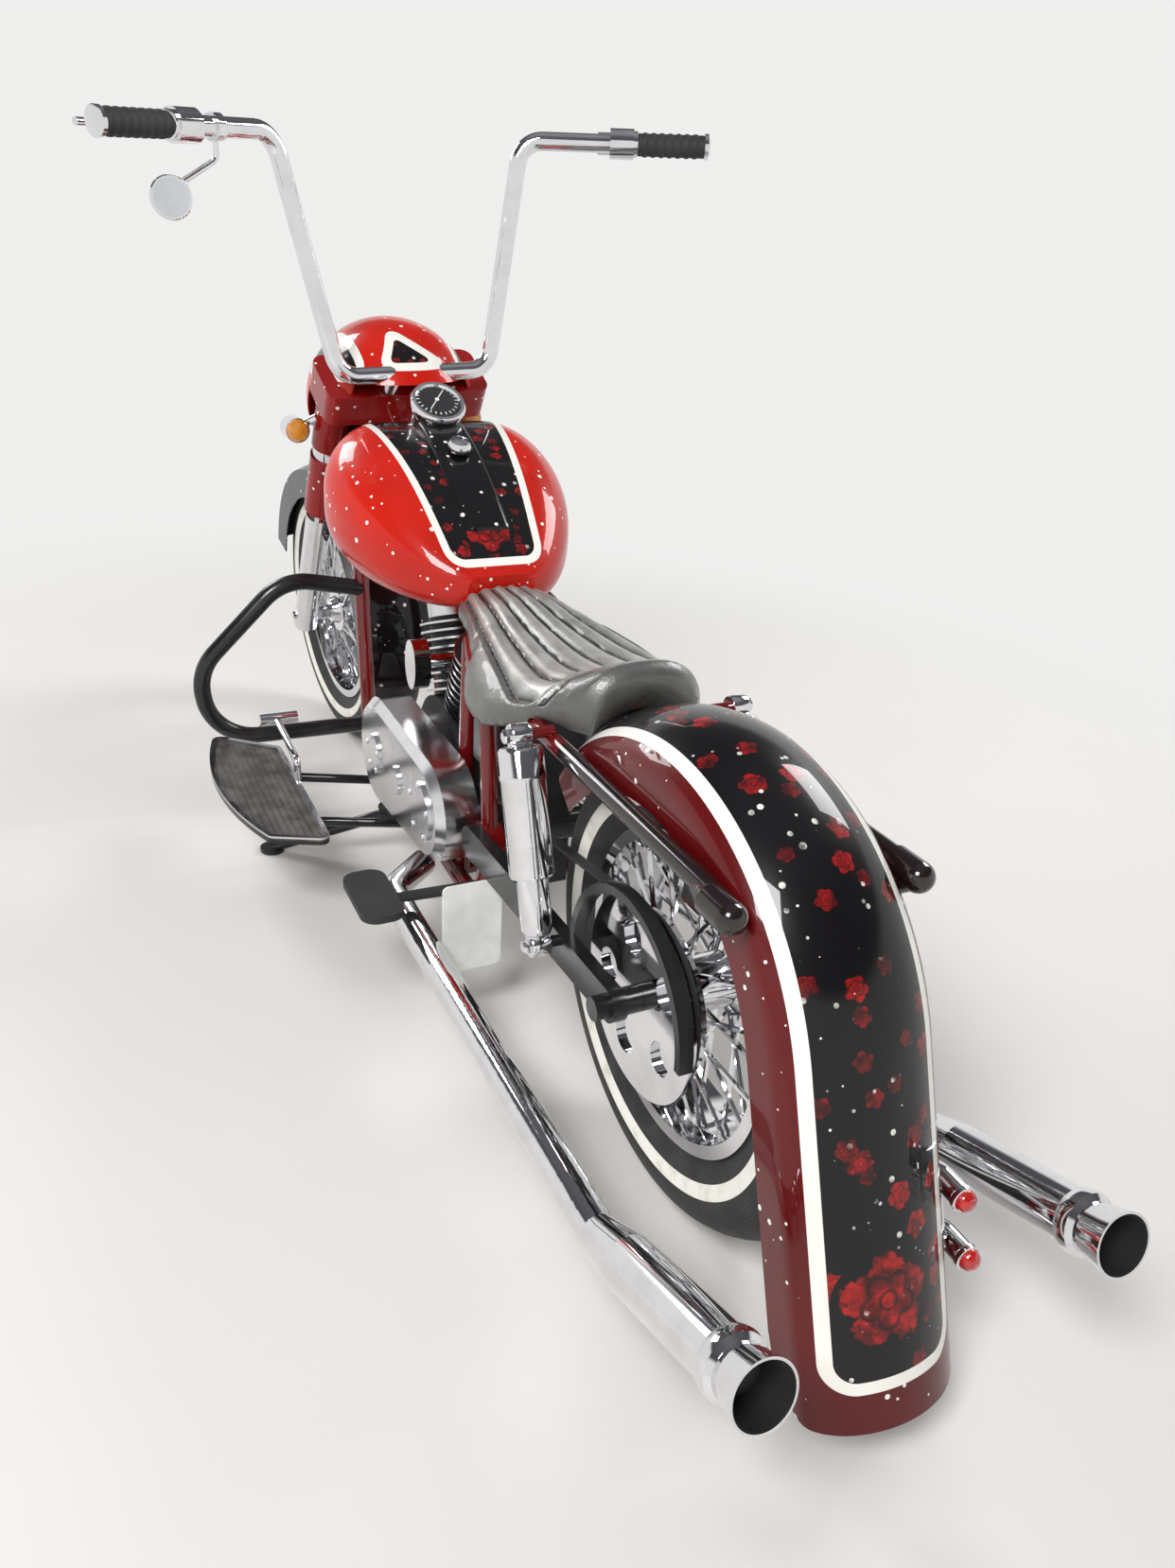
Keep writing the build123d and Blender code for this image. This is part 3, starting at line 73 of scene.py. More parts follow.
WHITE_PAINT: Colour = (0.86, 0.84, 0.78)
CANDY_RED: Colour = (0.6, 0.013, 0.004)
# The candy red darkened to a deep maroon as painted shade, for the rear fender's flanks.
SHADED_FLANK_RED: Colour = (0.115, 0.003, 0.004)
# The candy red darkened by half as painted shade, for the fork covers and shroud.
SHADED_SHELF_RED: Colour = (0.3, 0.007, 0.006)
ROSE_RED: Colour = (0.42, 0.012, 0.01)
ROSE_SHADE: Colour = (0.1, 0.004, 0.004)
SHADOW_BLACK: Colour = (0.005, 0.004, 0.005)
PALE: Colour = (0.86, 0.86, 0.85)
SIDES = ((1, "left"), (-1, "right"))
TURNED_CREASE = 35.0


@dataclass(frozen=True)
class Stance:
    """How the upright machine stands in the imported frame.

    Its floats are in metres and degrees.
    """

    shift: Vector
    lean: float = 3.0
    steer: float = 4.4
    rake: float = 32.0
    wheelbase: float = 1.68
    trail: float = 0.14
    tyre_radius: float = 0.325

    @property
    def leaned(self) -> Matrix:
        """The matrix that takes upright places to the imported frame."""
        return Matrix.Translation(-self.shift) @ Matrix.Rotation(math.radians(-self.lean), 4, "X")

    @property
    def steered(self) -> Matrix:
        """The same matrix for what turns with the front fork."""
        tilt = math.radians(self.rake)
        axis = Vector((-math.sin(tilt), 0, math.cos(tilt)))
        ground = Matrix.Translation((self.wheelbase + self.trail, 0, 0))
        turn = Matrix.Rotation(math.radians(self.steer), 4, axis)
        return self.leaned @ ground @ turn @ ground.inverted()

    @classmethod
    def of(cls, joints: Iterable[dict[str, Any]]) -> "Stance":
        """Find the shift from the rear wheel's joint.

        Args:
            joints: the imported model's joints.

        Returns:
            The stance of that model.
        """
        spin = next(joint for joint in joints if joint["name"] == "rear_wheel_spin")
        axle = Matrix.Rotation(math.radians(-cls.lean), 3, "X") @ Vector((0, 0, cls.tyre_radius))
        return cls(shift=axle - Vector(spin["pos_m"]))


def maths(operation: str, other_first: bool = False) -> Callable[..., "Num"]:
    """Make a method of Num that adds one Math node.

    Args:
        operation: what the node does.
        other_first: whether the other number goes before the method's own.

    Returns:
        The method, which takes the other number where the node has two.
    """

    def method(self: "Num", *others: Number) -> "Num":
        """Add the node and give its result."""
        values = (*others, self) if other_first else (self, *others)
        node = self.graph.node("ShaderNodeMath", dict(enumerate(values)), operation=operation)
        return Num(self.graph, node.outputs[0])

    return method


class Num:
    """A number on a shader socket, with Python's operators.

    above and below give 1 where they hold, and angle is that of the point (other, self) in radians.
    """

    __add__ = __radd__ = maths("ADD")
    __sub__ = maths("SUBTRACT")
    __rsub__ = maths("SUBTRACT", other_first=True)
    __mul__ = __rmul__ = maths("MULTIPLY")
    __truediv__ = maths("DIVIDE")
    __abs__ = maths("ABSOLUTE")
    above = maths("GREATER_THAN")
    below = maths("LESS_THAN")
    least = maths("MINIMUM")
    most = maths("MAXIMUM")
    sine = maths("SINE")
    root = maths("SQRT")
    angle = maths("ARCTAN2")

    def __init__(self, graph: "Graph", socket: NodeSocket) -> None:
        """Keep the graph and the socket that gives the number."""
        self.graph = graph
        self.socket = socket

    def within(self, low: Number, high: Number) -> "Num":
        """1 between two limits."""
        return self.above(low) * self.below(high)

    def ramp(self, low: float, high: float, start: float = 0.0, end: float = 1.0) -> "Num":
        """Go smoothly from start to end as the number goes from low to high."""
        inputs = {"Value": self, "From Min": low, "From Max": high, "To Min": start, "To Max": end}
        node = self.graph.node("ShaderNodeMapRange", inputs, interpolation_type="SMOOTHSTEP")
        return Num(self.graph, node.outputs["Result"])


class Graph:
    """The node graph of one material."""

    def __init__(self, name: str, matrix: Optional[Matrix] = None) -> None:
        """Start an empty material with its Principled shader.

        Args:
            name: the material's name.
            matrix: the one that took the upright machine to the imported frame. With it, places are those on
                the upright machine, and otherwise the piece's own.
        """
        self.material = bpy.data.materials.new(name)
        self.material.use_nodes = True
        self.tree = self.material.node_tree
        self.tree.nodes.clear()
        self.shader = self.node("ShaderNodeBsdfPrincipled")
        self.output = self.node("ShaderNodeOutputMaterial", {"Surface": self.shader.outputs["BSDF"]})
        self.where = self.node("ShaderNodeTexCoord").outputs["Object"]
        if matrix is not None:
            back = matrix.inverted()
            inputs = {0: self.where, 1: back.to_translation(), 2: back.to_euler("XYZ")}
            self.where = self.node("ShaderNodeMapping", inputs, vector_type="POINT").outputs[0]

    def node(self, kind: str, inputs: Optional[dict[Any, Input]] = None, **settings: Any) -> Node:
        """Add one node.

        Args:
            kind: its type.
            inputs: the values or links of its sockets, by name or number.
            settings: its own properties, set first.

        Returns:
            The node.
        """
        made = self.tree.nodes.new(kind)
        for name, value in settings.items():
            setattr(made, name, value)
        for key, value in (inputs or {}).items():
            self.feed(made.inputs[key], value)
        return made

    def feed(self, socket: NodeSocket, value: Input) -> None:
        """Link or set one input socket.

        Args:
            socket: the input.
            value: a number, a colour, a wrapped number or an output socket.
        """
        if isinstance(value, Num):
            value = value.socket
        if isinstance(value, NodeSocket):
            self.tree.links.new(value, socket)
        elif isinstance(value, (int, float)):
            socket.default_value = value
        else:
            socket.default_value = (*value, 1.0) if socket.type == "RGBA" else tuple(value)

    def split(self, vector: Optional[NodeSocket] = None) -> tuple[Num, Num, Num]:
        """Take a colour or a vector, or else the place, apart into its three numbers."""
        node = self.node("ShaderNodeSeparateXYZ", {0: vector or self.where})
        return tuple(Num(self, out) for out in node.outputs)

    def join(self, x: Number, y: Number, z: Number) -> NodeSocket:
        """Put three numbers together as a vector."""
        return self.node("ShaderNodeCombineXYZ", {0: x, 1: y, 2: z}).outputs[0]

    def noise(self, scale: float, detail: float = 2.0, rough: float = 0.5,
              vector: Optional[NodeSocket] = None) -> Num:
        """Soft noise from 0 to 1 with features about 1/scale metres across."""
        inputs = {"Vector": vector or self.where, "Scale": scale, "Detail": detail, "Roughness": rough}
        return Num(self, self.node("ShaderNodeTexNoise", inputs).outputs[0])

    def cells(self, scale: float) -> tuple[Num, NodeSocket]:
        """Distance to the nearest of many scattered points, in units of 1/scale, and that point's colour."""
        outputs = self.node("ShaderNodeTexVoronoi", {"Vector": self.where, "Scale": scale}).outputs
        return Num(self, outputs["Distance"]), outputs["Color"]

    def attribute(self, name: str) -> Num:
        """A number stored on the mesh."""
        return Num(self, self.node("ShaderNodeAttribute", attribute_name=name).outputs["Fac"])

    def mix(self, mask: Number, low: Input, high: Input) -> NodeSocket:
        """Blend two colours: mask 0 gives the first, 1 the second."""
        return self.node("ShaderNodeMix", {0: mask, 6: low, 7: high}, data_type="RGBA").outputs[2]

    def bump(self, height: Num, distance: float, strength: float = 1.0) -> None:
        """Shade small relief: distance is what a height of 1 is worth, in metres."""
        inputs = {"Height": height, "Distance": distance, "Strength": strength}
        self.finish(Normal=self.node("ShaderNodeBump", inputs).outputs[0])

    def finish(self, **inputs: Input) -> Material:
        """Set inputs of the shader, with underscores for spaces in their names, and give the material."""
        for name, value in inputs.items():
            self.feed(self.shader.inputs[name.replace("_", " ")], value)
        return self.material


def dim(colour: Colour, share: float) -> Colour:
    """A darker tone of a colour."""
    return tuple(part * share for part in colour)


class Coat(Enum):
    """The two paints of the body work."""

    RED = "red"
    BLACK = "black"


@dataclass(frozen=True)
class Metal:
    """A polished or plated metal, with faint smears that change its roughness."""

    name: str
    colour: Colour
    roughness: float
    wear: float

    @cache
    def material(self) -> Material:
        """Build the material, once."""
        graph = Graph(self.name)
        smear = graph.noise(22, 4, 0.6)
        rough = smear * self.wear + graph.noise(260, 2) * self.wear * 0.4 + self.roughness
        tone = graph.mix(smear.ramp(0.35, 0.75), self.colour, dim(self.colour, 0.9))
        return graph.finish(Base_Color=tone, Metallic=1.0, Roughness=rough)


@dataclass(frozen=True)
class Moulded:
    """Rubber, plastic or a cast and painted surface, with a fine grain."""

    name: str
    colour: Colour
    roughness: float
    grain: float = 900.0
    relief: float = 0.00012
    metallic: float = 0.0

    @cache
    def material(self) -> Material:
        """Build the material, once."""
        graph = Graph(self.name)
        patch = graph.noise(14, 3)
        light = tuple(min(1.0, part * 1.35 + 0.004) for part in self.colour)
        tone = graph.mix(patch.ramp(0.3, 0.8), self.colour, light)
        graph.bump(graph.noise(self.grain, 2), self.relief)
        return graph.finish(Base_Color=tone, Metallic=self.metallic, Roughness=patch * 0.14 + self.roughness)


@dataclass(frozen=True)
class Lens:
    """A moulded lens with fine ribs, which lets a share of the light through."""

    name: str
    colour: Colour
    clear: float = 0.25
    ribs: float = 900.0

    @cache
    def material(self) -> Material:
        """Build the material, once."""
        graph = Graph(self.name)
        _, y, z = graph.split()
        speck = graph.noise(60, 2)
        tone = graph.mix(speck.ramp(0.3, 0.7), self.colour, dim(self.colour, 0.8))
        graph.bump((y * self.ribs).sine() * (z * self.ribs).sine(), 0.0003)
        return graph.finish(Base_Color=tone, Roughness=speck * 0.06 + 0.05, Transmission_Weight=self.clear,
                            Coat_Weight=1.0)


CHROME = Metal("bright_chrome", (0.8, 0.8, 0.82), 0.03, 0.05)
ALLOY = Metal("polished_alloy", (0.76, 0.76, 0.78), 0.12, 0.12)
MIRROR = Metal("mirror_glass", (0.7, 0.72, 0.76), 0.01, 0.01)
CASTING = Moulded("black_casting", (0.022, 0.022, 0.024), 0.42, 1400, 0.0002, 0.35)
RUBBER = Moulded("black_rubber", (0.018, 0.018, 0.019), 0.62)
ENAMEL = Moulded("black_enamel", (0.01, 0.01, 0.011), 0.14, 90, 0.00004)
# Near black for soot and for painted shade inside the exhaust pipes.
SOOT_AND_SHADE = Moulded("soot_and_shade", (0.004, 0.004, 0.004), 0.8)
PLATE = Moulded("blank_plate", (0.72, 0.73, 0.7), 0.34, 500, 0.00005)
RED_LENS = Lens("red_lens", (0.62, 0.01, 0.01))
AMBER_LENS = Lens("amber_lens", (0.9, 0.36, 0.03))
CLEAR_LENS = Lens("clear_lens", (0.82, 0.86, 0.9), 0.75)


class CandyPaint(Graph):
    """Clear-coated paint with metal flakes and scattered white dots painted as glints of the lamps, on the
    upright machine's places.
    """

    FLAKES = 900.0
    # How many of the white dots painted as glints fit in a metre.
    GLINT_SCALE = 52.0

    def __init__(self, name: str, matrix: Matrix, tone: Colour = CANDY_RED) -> None:
        """Start the paint.

        Args:
            name: the material's name.
            matrix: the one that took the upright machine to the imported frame.
            tone: its red.
        """
        super().__init__(name, matrix)
        self.tone = tone

    def flakes(self) -> Num:
        """Fine flakes, 1 in the few that catch the light."""
        return self.cells(self.FLAKES)[0].below(0.13)

    def painted_glints(self) -> Num:
        """Loose dots of several sizes, where white is painted as glints of the lamps."""
        distance, colour = self.cells(self.GLINT_SCALE)
        size = self.split(colour)[0]
        return distance.below(size * size * 0.2 + 0.04)

    def red(self) -> NodeSocket:
        """Candy red, a little darker in cloudy patches."""
        base = self.mix(self.noise(5, 3).ramp(0.3, 0.7), self.tone, dim(self.tone, 0.75))
        return self.mix(self.flakes() * 0.3, base, (0.8, 0.1, 0.06))

    def black(self) -> NodeSocket:
        """Black with a trace of flakes."""
        return self.mix(self.flakes() * 0.12, SHADOW_BLACK, (0.2, 0.16, 0.16))

    def motifs(self, along: Num, across: Num, scale: float) -> Num:
        """Small scattered rosettes, for the black panels.

        Args:
            along: distance along the panel, in metres.
            across: distance across it.
            scale: how many fit in a metre.

        Returns:
            How strongly the red shows, 0 off the rosettes.
        """
        inputs = {"Vector": self.join(along, across, 0.0), "Scale": scale, "Randomness": 0.85}
        node = self.node("ShaderNodeTexVoronoi", inputs, voronoi_dimensions="2D")
        x, y, _ = self.split(node.outputs["Position"])
        tone, turn, pick = self.split(node.outputs["Color"])
        rose = self.rosette(along - x, across - y, (tone * 0.17 + 0.24) / scale, turn)
        return rose * pick.above(0.3) * (tone * 0.6 + 0.4)

    def rosette(self, u: Num, v: Num, radius: Number, turn: Number) -> Num:
        """One five-petalled flower with darker seams between its rings of petals.

        Args:
            u: distance from its middle along the panel.
            v: distance across.
            radius: its size, in metres.
            turn: how it is turned, from 0 to 1.

        Returns:
            How strongly the red shows.
        """
        reach = (u * u + v * v).root() / radius
        lobes = abs(((v.angle(u) + turn * 6.3) * 2.5).sine())
        inner = abs(((v.angle(u) + turn * 6.3 + 0.6) * 2.5).sine())
        rough = self.noise(110, 4, vector=self.join(u, v, turn))
        shape = (lobes * 0.26 + rough * 0.45 + 0.45 - reach).ramp(-0.04, 0.06)
        seams = abs(reach - inner * 0.2 - 0.38).below(0.045).most(reach.within(0.15, 0.21))
        return shape * (1 - seams * 0.7) * rough.ramp(0.25, 0.6, 0.3, 1.0)

    def lacquer(self, tone: NodeSocket) -> Material:
        """Give the paint its colour and its clear coat."""
        self.bump(self.noise(60, 2), 0.00005)
        rough = self.noise(9, 2) * 0.08 + 0.3
        return self.finish(Base_Color=tone, Roughness=rough, Specular_IOR_Level=0.1, Coat_Weight=0.6,
                           Coat_Roughness=0.02)

    def plain(self, coat: Coat) -> Material:
        """Finish it in one of the two colours."""
        base = self.red() if coat is Coat.RED else self.black()
        # White dots are painted over the colour as glints of the lamps.
        return self.lacquer(self.mix(self.painted_glints(), base, WHITE_PAINT))

    def panelled(self, panel: "Panel") -> Material:
        """Finish it in red with a black panel inside a white line.

        Args:
            panel: where the panel is and what it shows.

        Returns:
            The material.
        """
        x, y, z = self.split()
        outside, length = panel.edge(x, y, z), panel.along(x, y, z)
        marks = self.motifs(length, y, panel.roses)
        down, across, radius = panel.emblem
        if radius:
            u, v = length - down, y - across
            near = (u * u + v * v).root()
            marks = (marks * near.above(radius * 1.1)).most(self.rosette(u, v, radius, 0.2))
        shade = self.noise(45, 3).ramp(0.35, 0.65)
        # Painted glints: white dots over the red, and fewer over the black panel.
        painted_glints = self.painted_glints()
        inside = self.mix(marks, self.black(), self.mix(shade, ROSE_SHADE, ROSE_RED))
        inside = self.mix(painted_glints * shade, inside, WHITE_PAINT)
        outer = self.mix(painted_glints, self.red(), WHITE_PAINT)
        ground = self.mix(outside.above(0.0), inside, outer)
        return self.lacquer(self.mix(outside.within(0.0, panel.line), ground, WHITE_PAINT))


def dress(node: Object, material: Material) -> None:
    """Put one material on a node, which keeps its mesh."""
    node.data.materials.clear()
    node.data.materials.append(material)


def face_outward() -> None:
    """Turn all faces of the active piece to the outside."""
    bpy.ops.object.mode_set(mode="EDIT")
    bpy.ops.mesh.select_all(action="SELECT")
    bpy.ops.mesh.normals_make_consistent(inside=False)
    bpy.ops.object.mode_set(mode="OBJECT")


def modify(piece: Object, kind: str, **settings: Any) -> None:
    """Add one modifier to the active piece and apply it.

    Args:
        piece: the piece.
        kind: the modifier's type.
        settings: its own properties.
    """
    modifier = piece.modifiers.new(kind.lower(), kind)
    for key, value in settings.items():
        setattr(modifier, key, value)
    bpy.ops.object.modifier_apply(modifier=modifier.name)


class Workshop:
    """Makes round pieces with Blender's own tools and puts them on their bodies."""

    def __init__(self, stance: Stance) -> None:
        """Keep the stance, from which each piece's place is worked out."""
        self.stance = stance

    def turn(self, name: str, rings: Rings, faces: int, body: str, origin: Sequence[float],
             facing: Sequence[float], finish: Optional[Material] = None, slot: str = "chrome") -> Object:
        """Model a round piece as a disc drawn out ring by ring, closed at both ends, and put it in place.

        Args:
            name: the piece's name.
            rings: radius and height of each ring, from the back to the front.
            faces: how many go round it.
            body: the CAD body that it rides on.
            origin: where its middle goes on the upright machine, in metres.
            facing: where its front points.
            finish: its material, or None for chrome.
            slot: the record's slot for it, which is not used.

        Returns:
            The piece.
        """
        bpy.ops.object.select_all(action="DESELECT")
        radius, height = rings[0]
        bpy.ops.mesh.primitive_circle_add(vertices=faces, radius=radius, fill_type="NGON", location=(0, 0, 0))
        piece = bpy.context.active_object
        piece.name = name
        bpy.ops.object.mode_set(mode="EDIT")
        bpy.ops.mesh.select_all(action="SELECT")
        bpy.ops.transform.translate(value=(0, 0, height))
        for wide, high in rings[1:]:
            bpy.ops.mesh.extrude_region_move(TRANSFORM_OT_translate={"value": (0, 0, high - height)})
            factor = wide / radius
            bpy.ops.transform.resize(value=(factor, factor, 1), center_override=(0, 0, high))
            radius, height = wide, high
        face_outward()
        bpy.ops.object.shade_smooth_by_angle(angle=math.radians(TURNED_CREASE))
        upright = self.stance.steered if body == "steering" else self.stance.leaned
        way = Vector(facing).to_track_quat("Z", "Y").to_matrix().to_4x4()
        piece.data.transform(upright @ Matrix.Translation(origin) @ way)
        piece.data.update()
        dress(piece, finish or CHROME.material())
        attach(piece, body)
        LOG.info("piece %s on %s", piece.name, body)
        return piece


@dataclass(frozen=True)
class Tyre:
    """Black rubber with a white wall and a block tread whose grooves are painted darker as shade."""

    name: str
    matrix: Matrix
    axle: tuple[float, float]
    white: tuple[float, float] = (0.243, 0.263)
    tread_radius: float = 0.3
    blocks: int = 72

    def material(self) -> Material:
        """Build the material about the wheel's own axle."""
        graph = Graph(self.name, self.matrix)
        x, y, z = graph.split()
        u, v = x - self.axle[0], z - self.axle[1]
        radius = (u * u + v * v).root()
        band = radius.within(*self.white)
        grime = graph.noise(30, 4, 0.65)
        rubber = graph.mix(grime.ramp(0.35, 0.75), (0.012, 0.012, 0.013), (0.035, 0.034, 0.033))
        white = graph.mix(grime.ramp(0.45, 0.8), WHITE_PAINT, (0.62, 0.58, 0.5))
        turn = v.angle(u) * self.blocks / 2 + abs(y) * 60
        grooves = turn.sine().below(-0.55).most(abs(abs(y) - 0.021).below(0.0028))
        cut = grooves * radius.above(self.tread_radius)
        rings = (radius * 1400).sine() * radius.within(0.27, 0.298)
        # Painted shade: the tread's grooves are near black.
        tone = graph.mix(band, graph.mix(cut, rubber, (0.004, 0.004, 0.004)), white)
        graph.bump((1 - cut) * 0.9 + rings * 0.06 + band * 0.12, 0.004)
        return graph.finish(Base_Color=tone, Roughness=grime * 0.2 + 0.5)


@dataclass(frozen=True)
class Panel:
    """A red piece with a black panel inside a white line.

    roses is how many rosettes fit in a metre, and emblem a large one's place along and across and its radius.
    """

    tone: Colour = CANDY_RED
    line: float = 0.013
    roses: float = 45.0
    emblem: Place = (0.0, 0.0, 0.0)

    def edge(self, x: Num, y: Num, z: Num) -> Num:
        """Find where the panel's edge is.

        Args:
            x: how far forward a point of the surface is, on the upright machine.
            y: how far to its left.
            z: how high.

        Returns:
            The distance outside the edge, under 0 inside.
        """
        raise NotImplementedError

    def along(self, x: Num, y: Num, z: Num) -> Num:
        """Distance along the panel."""
        raise NotImplementedError

    def dress(self, node: Object, name: str, matrix: Matrix) -> None:
        """Paint the piece.

        Args:
            node: the piece.
            name: the paint's name.
            matrix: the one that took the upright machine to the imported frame.
        """
        dress(node, CandyPaint(name, matrix, self.tone).panelled(self))


@dataclass(frozen=True)
class RearFender(Panel):
    """The long rear fender: a smooth sheet with red flanks, painted darker as shade, and a black centre inside
    a white line.
    """

    # Painted shade: the flanks take the candy red darkened to maroon.
    tone: Colour = SHADED_FLANK_RED
    half_panel: float = 0.074
    line: float = 0.014
    corner: float = 0.024
    end_gap: float = 0.045
    crown: float = 0.366
    round_start: float = 38.0
    round_end: float = 160.0
    shoulder: float = 0.322
    skirt: float = 0.268
    half_width: float = 0.103
    wall: float = 0.003
    round_corner: float = 0.09
    tail: float = 0.4
    axle_height: float = 0.325
    roses: float = 23.0
    emblem: Place = (math.radians(round_end) * crown + 0.255, 0.012, 0.056)
    arc_rows: int = 96
    tail_rows: int = 48
    flank_steps: int = 12
    crown_steps: int = 30
    softenings: int = 8
    crease: float = 40.0

    @property
    def _way(self) -> tuple[float, float]:
        """The tail's direction, as X and Z."""
        angle = math.radians(self.round_end)
        return -math.sin(angle), math.cos(angle)

    @property
    def _joint(self) -> tuple[float, float]:
        """Where the round part meets the tail, at the crown."""
        angle = math.radians(self.round_end)
        return self.crown * math.cos(angle), self.axle_height + self.crown * math.sin(angle)

    def down(self, x: Num, z: Num) -> Num:
        """Distance down the tail from the joint."""
        way, joint = self._way, self._joint
        return (x - joint[0]) * way[0] + (z - joint[1]) * way[1]

    def edge(self, x: Num, y: Num, z: Num) -> Num:
        """Distance outside the black panel's edge, with round lower corners."""
        side = (abs(y) - (self.half_panel - self.corner)).most(0.0)
        limit = self.tail - self.end_gap - self.line - self.corner
        below = (self.down(x, z) - limit).most(0.0)
        return (side * side + below * below).root() - self.corner

    def along(self, x: Num, y: Num, z: Num) -> Num:
        """Distance along the panel."""
        down = self.down(x, z)
        straight = down.above(0.0)
        turned = (z - self.axle_height).angle(x) * self.crown
        start = math.radians(self.round_end) * self.crown
        return straight * (down + start) + (1 - straight) * turned

    def section(self) -> list[tuple[float, float]]:
        """The sheet's outline from hem to hem, as Y and distance from the axle, with soft shoulders."""
        rise = self.crown - self.shoulder
        radius = (self.half_width ** 2 + rise ** 2) / (2 * rise)
        sweep = math.asin(self.half_width / radius)
        half = [(self.half_width, self.skirt + (self.shoulder - self.skirt) * step / self.flank_steps)
                for step in range(self.flank_steps)]
        for step in range(self.crown_steps + 1):
            turn = sweep * (1 - step / self.crown_steps)
            half.append((radius * math.sin(turn), self.crown - radius + radius * math.cos(turn)))
        points = half + [(-y, r) for y, r in reversed(half[:-1])]
        for _ in range(self.softenings):
            inner = [((a[0] + b[0] * 2 + c[0]) / 4, (a[1] + b[1] * 2 + c[1]) / 4)
                     for a, b, c in zip(points, points[1:], points[2:])]
            points = [points[0], *inner, points[-1]]
        return points

    def reach(self, radius: float) -> float:
        """Find how far down the tail goes, which is less at its round front corner.

        Args:
            radius: the distance from the axle, across the tail.

        Returns:
            The length of the tail there.
        """
        hub = self.skirt + self.round_corner
        if radius >= hub:
            return self.tail
        rise = self.round_corner ** 2 - (hub - radius) ** 2
        return self.tail - self.round_corner + math.sqrt(max(0.0, rise))

    def build(self, stance: Stance) -> Object:
        """Model the smooth sheet in place of the faceted CAD fender.

        Args:
            stance: how the machine stands.

        Returns:
            The sheet.
        """
        points = self.section()
        arc, straight = self.arc_rows, self.tail_rows
        bpy.ops.object.select_all(action="DESELECT")
        bpy.ops.mesh.primitive_grid_add(x_subdivisions=len(points) - 1, y_subdivisions=arc + straight, size=1)
        sheet = bpy.context.active_object
        sheet.name = "rear_fender_sheet"
        way, start, end = self._way, math.radians(self.round_start), math.radians(self.round_end)
        for vertex in sheet.data.vertices:
            y, radius = points[round((vertex.co.x + 0.5) * (len(points) - 1))]
            row = round((vertex.co.y + 0.5) * (arc + straight))
            turn = start + (end - start) * min(1.0, row / arc)
            down = self.reach(radius) * max(0.0, (row - arc) / straight)
            x = radius * math.cos(turn) + way[0] * down
            z = self.axle_height + radius * math.sin(turn) + way[1] * down
            vertex.co = stance.leaned @ Vector((x, y, z))
        face_outward()
        middle = sheet.data.polygons[len(sheet.data.polygons) // 2]
        outward = middle.normal.dot(middle.center - stance.leaned @ Vector((0, 0, self.axle_height))) > 0
        modify(sheet, "SOLIDIFY", thickness=self.wall, offset=-1.0 if outward else 1.0)
        bpy.ops.object.shade_smooth_by_angle(angle=math.radians(self.crease))
        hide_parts("rear_fender")
        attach(sheet, "root")
        LOG.info("piece %s on root", sheet.name)
        return sheet


@dataclass(frozen=True)
class Tank(Panel):
    """The fuel tank: red, with a black panel on its back, outlined in white."""

    rear_x: float = 0.742
    rear_half: float = 0.072
    spread: float = 0.13
    stretch: float = 1.25
    corner: float = 0.02
    roses: float = 30.0
    emblem: Place = (1.0, 0.0, 0.044)

    def edge(self, x: Num, y: Num, z: Num) -> Num:
        """Distance outside the black panel, which widens forward and stays on top."""
        half = (x - self.rear_x) * self.spread + self.rear_half
        side = (abs(y) - half + self.corner).most(0.0)
        behind = (self.rear_x + self.corner + self.line - x).most(0.0)
        flat = (side * side + behind * behind).root() - self.corner
        under = ((x - self.rear_x) * 0.35 + 0.645 - z) * 8
        return flat.most(under)

    def along(self, x: Num, y: Num, z: Num) -> Num:
        """Distance along the panel, stretched to spread the rosettes."""
        return x * self.stretch


@dataclass(frozen=True)
class Nacelle(Panel):
    """The headlamp dome: red, with a black field on its rear and one on each flank, all outlined."""

    corner: tuple[float, float] = (0.026, 0.992)
    flank: tuple[float, float] = (0.104, 0.928)
    soft: float = 0.01
    mouth: float = 1.4955
    axis: float = 0.858
    rolled: Rings = (
        (0.112, -0.028), (0.1262, -0.0245), (0.1242, -0.0185), (0.1195, -0.0115), (0.113, -0.005),
        (0.106, 0.0),
    )

    def rounded(self, sides: Sequence[Num]) -> Num:
        """Join a field's sides with rounded corners.

        Args:
            sides: the distance outside each of them.

        Returns:
            The distance outside the field.
        """
        total: Number = 0.0
        for side in sides:
            over = (side + self.soft).most(0.0)
            total = over * over + total
        return total.root() - self.soft

    def edge(self, x: Num, y: Num, z: Num) -> Num:
        """Distance outside the three black fields."""
        u, v = y - self.corner[0], z - self.corner[1]
        rear = self.rounded((u * 0.85 + v * 0.53, v * 0.83 - u * 0.56, v * -1 - 0.04))
        wide, low = self.flank
        flank = self.rounded((wide - abs(y), low - z, x - 1.4, 1.22 - x))
        return rear.least(flank)

    def along(self, x: Num, y: Num, z: Num) -> Num:
        """Distance along the dome."""
        return x + z

    def build(self, shop: Workshop) -> None:
        """Add the rolled lip round the headlamp in the dome's mouth.

        Args:
            shop: the workshop.
        """
        paint = CandyPaint("lip_paint_red", shop.stance.steered).plain(Coat.RED)
        place = (self.mouth, 0, self.axis)
        shop.turn("nacelle_lip", self.rolled, 96, "steering", place, (1, 0, 0), paint, "red_paint")


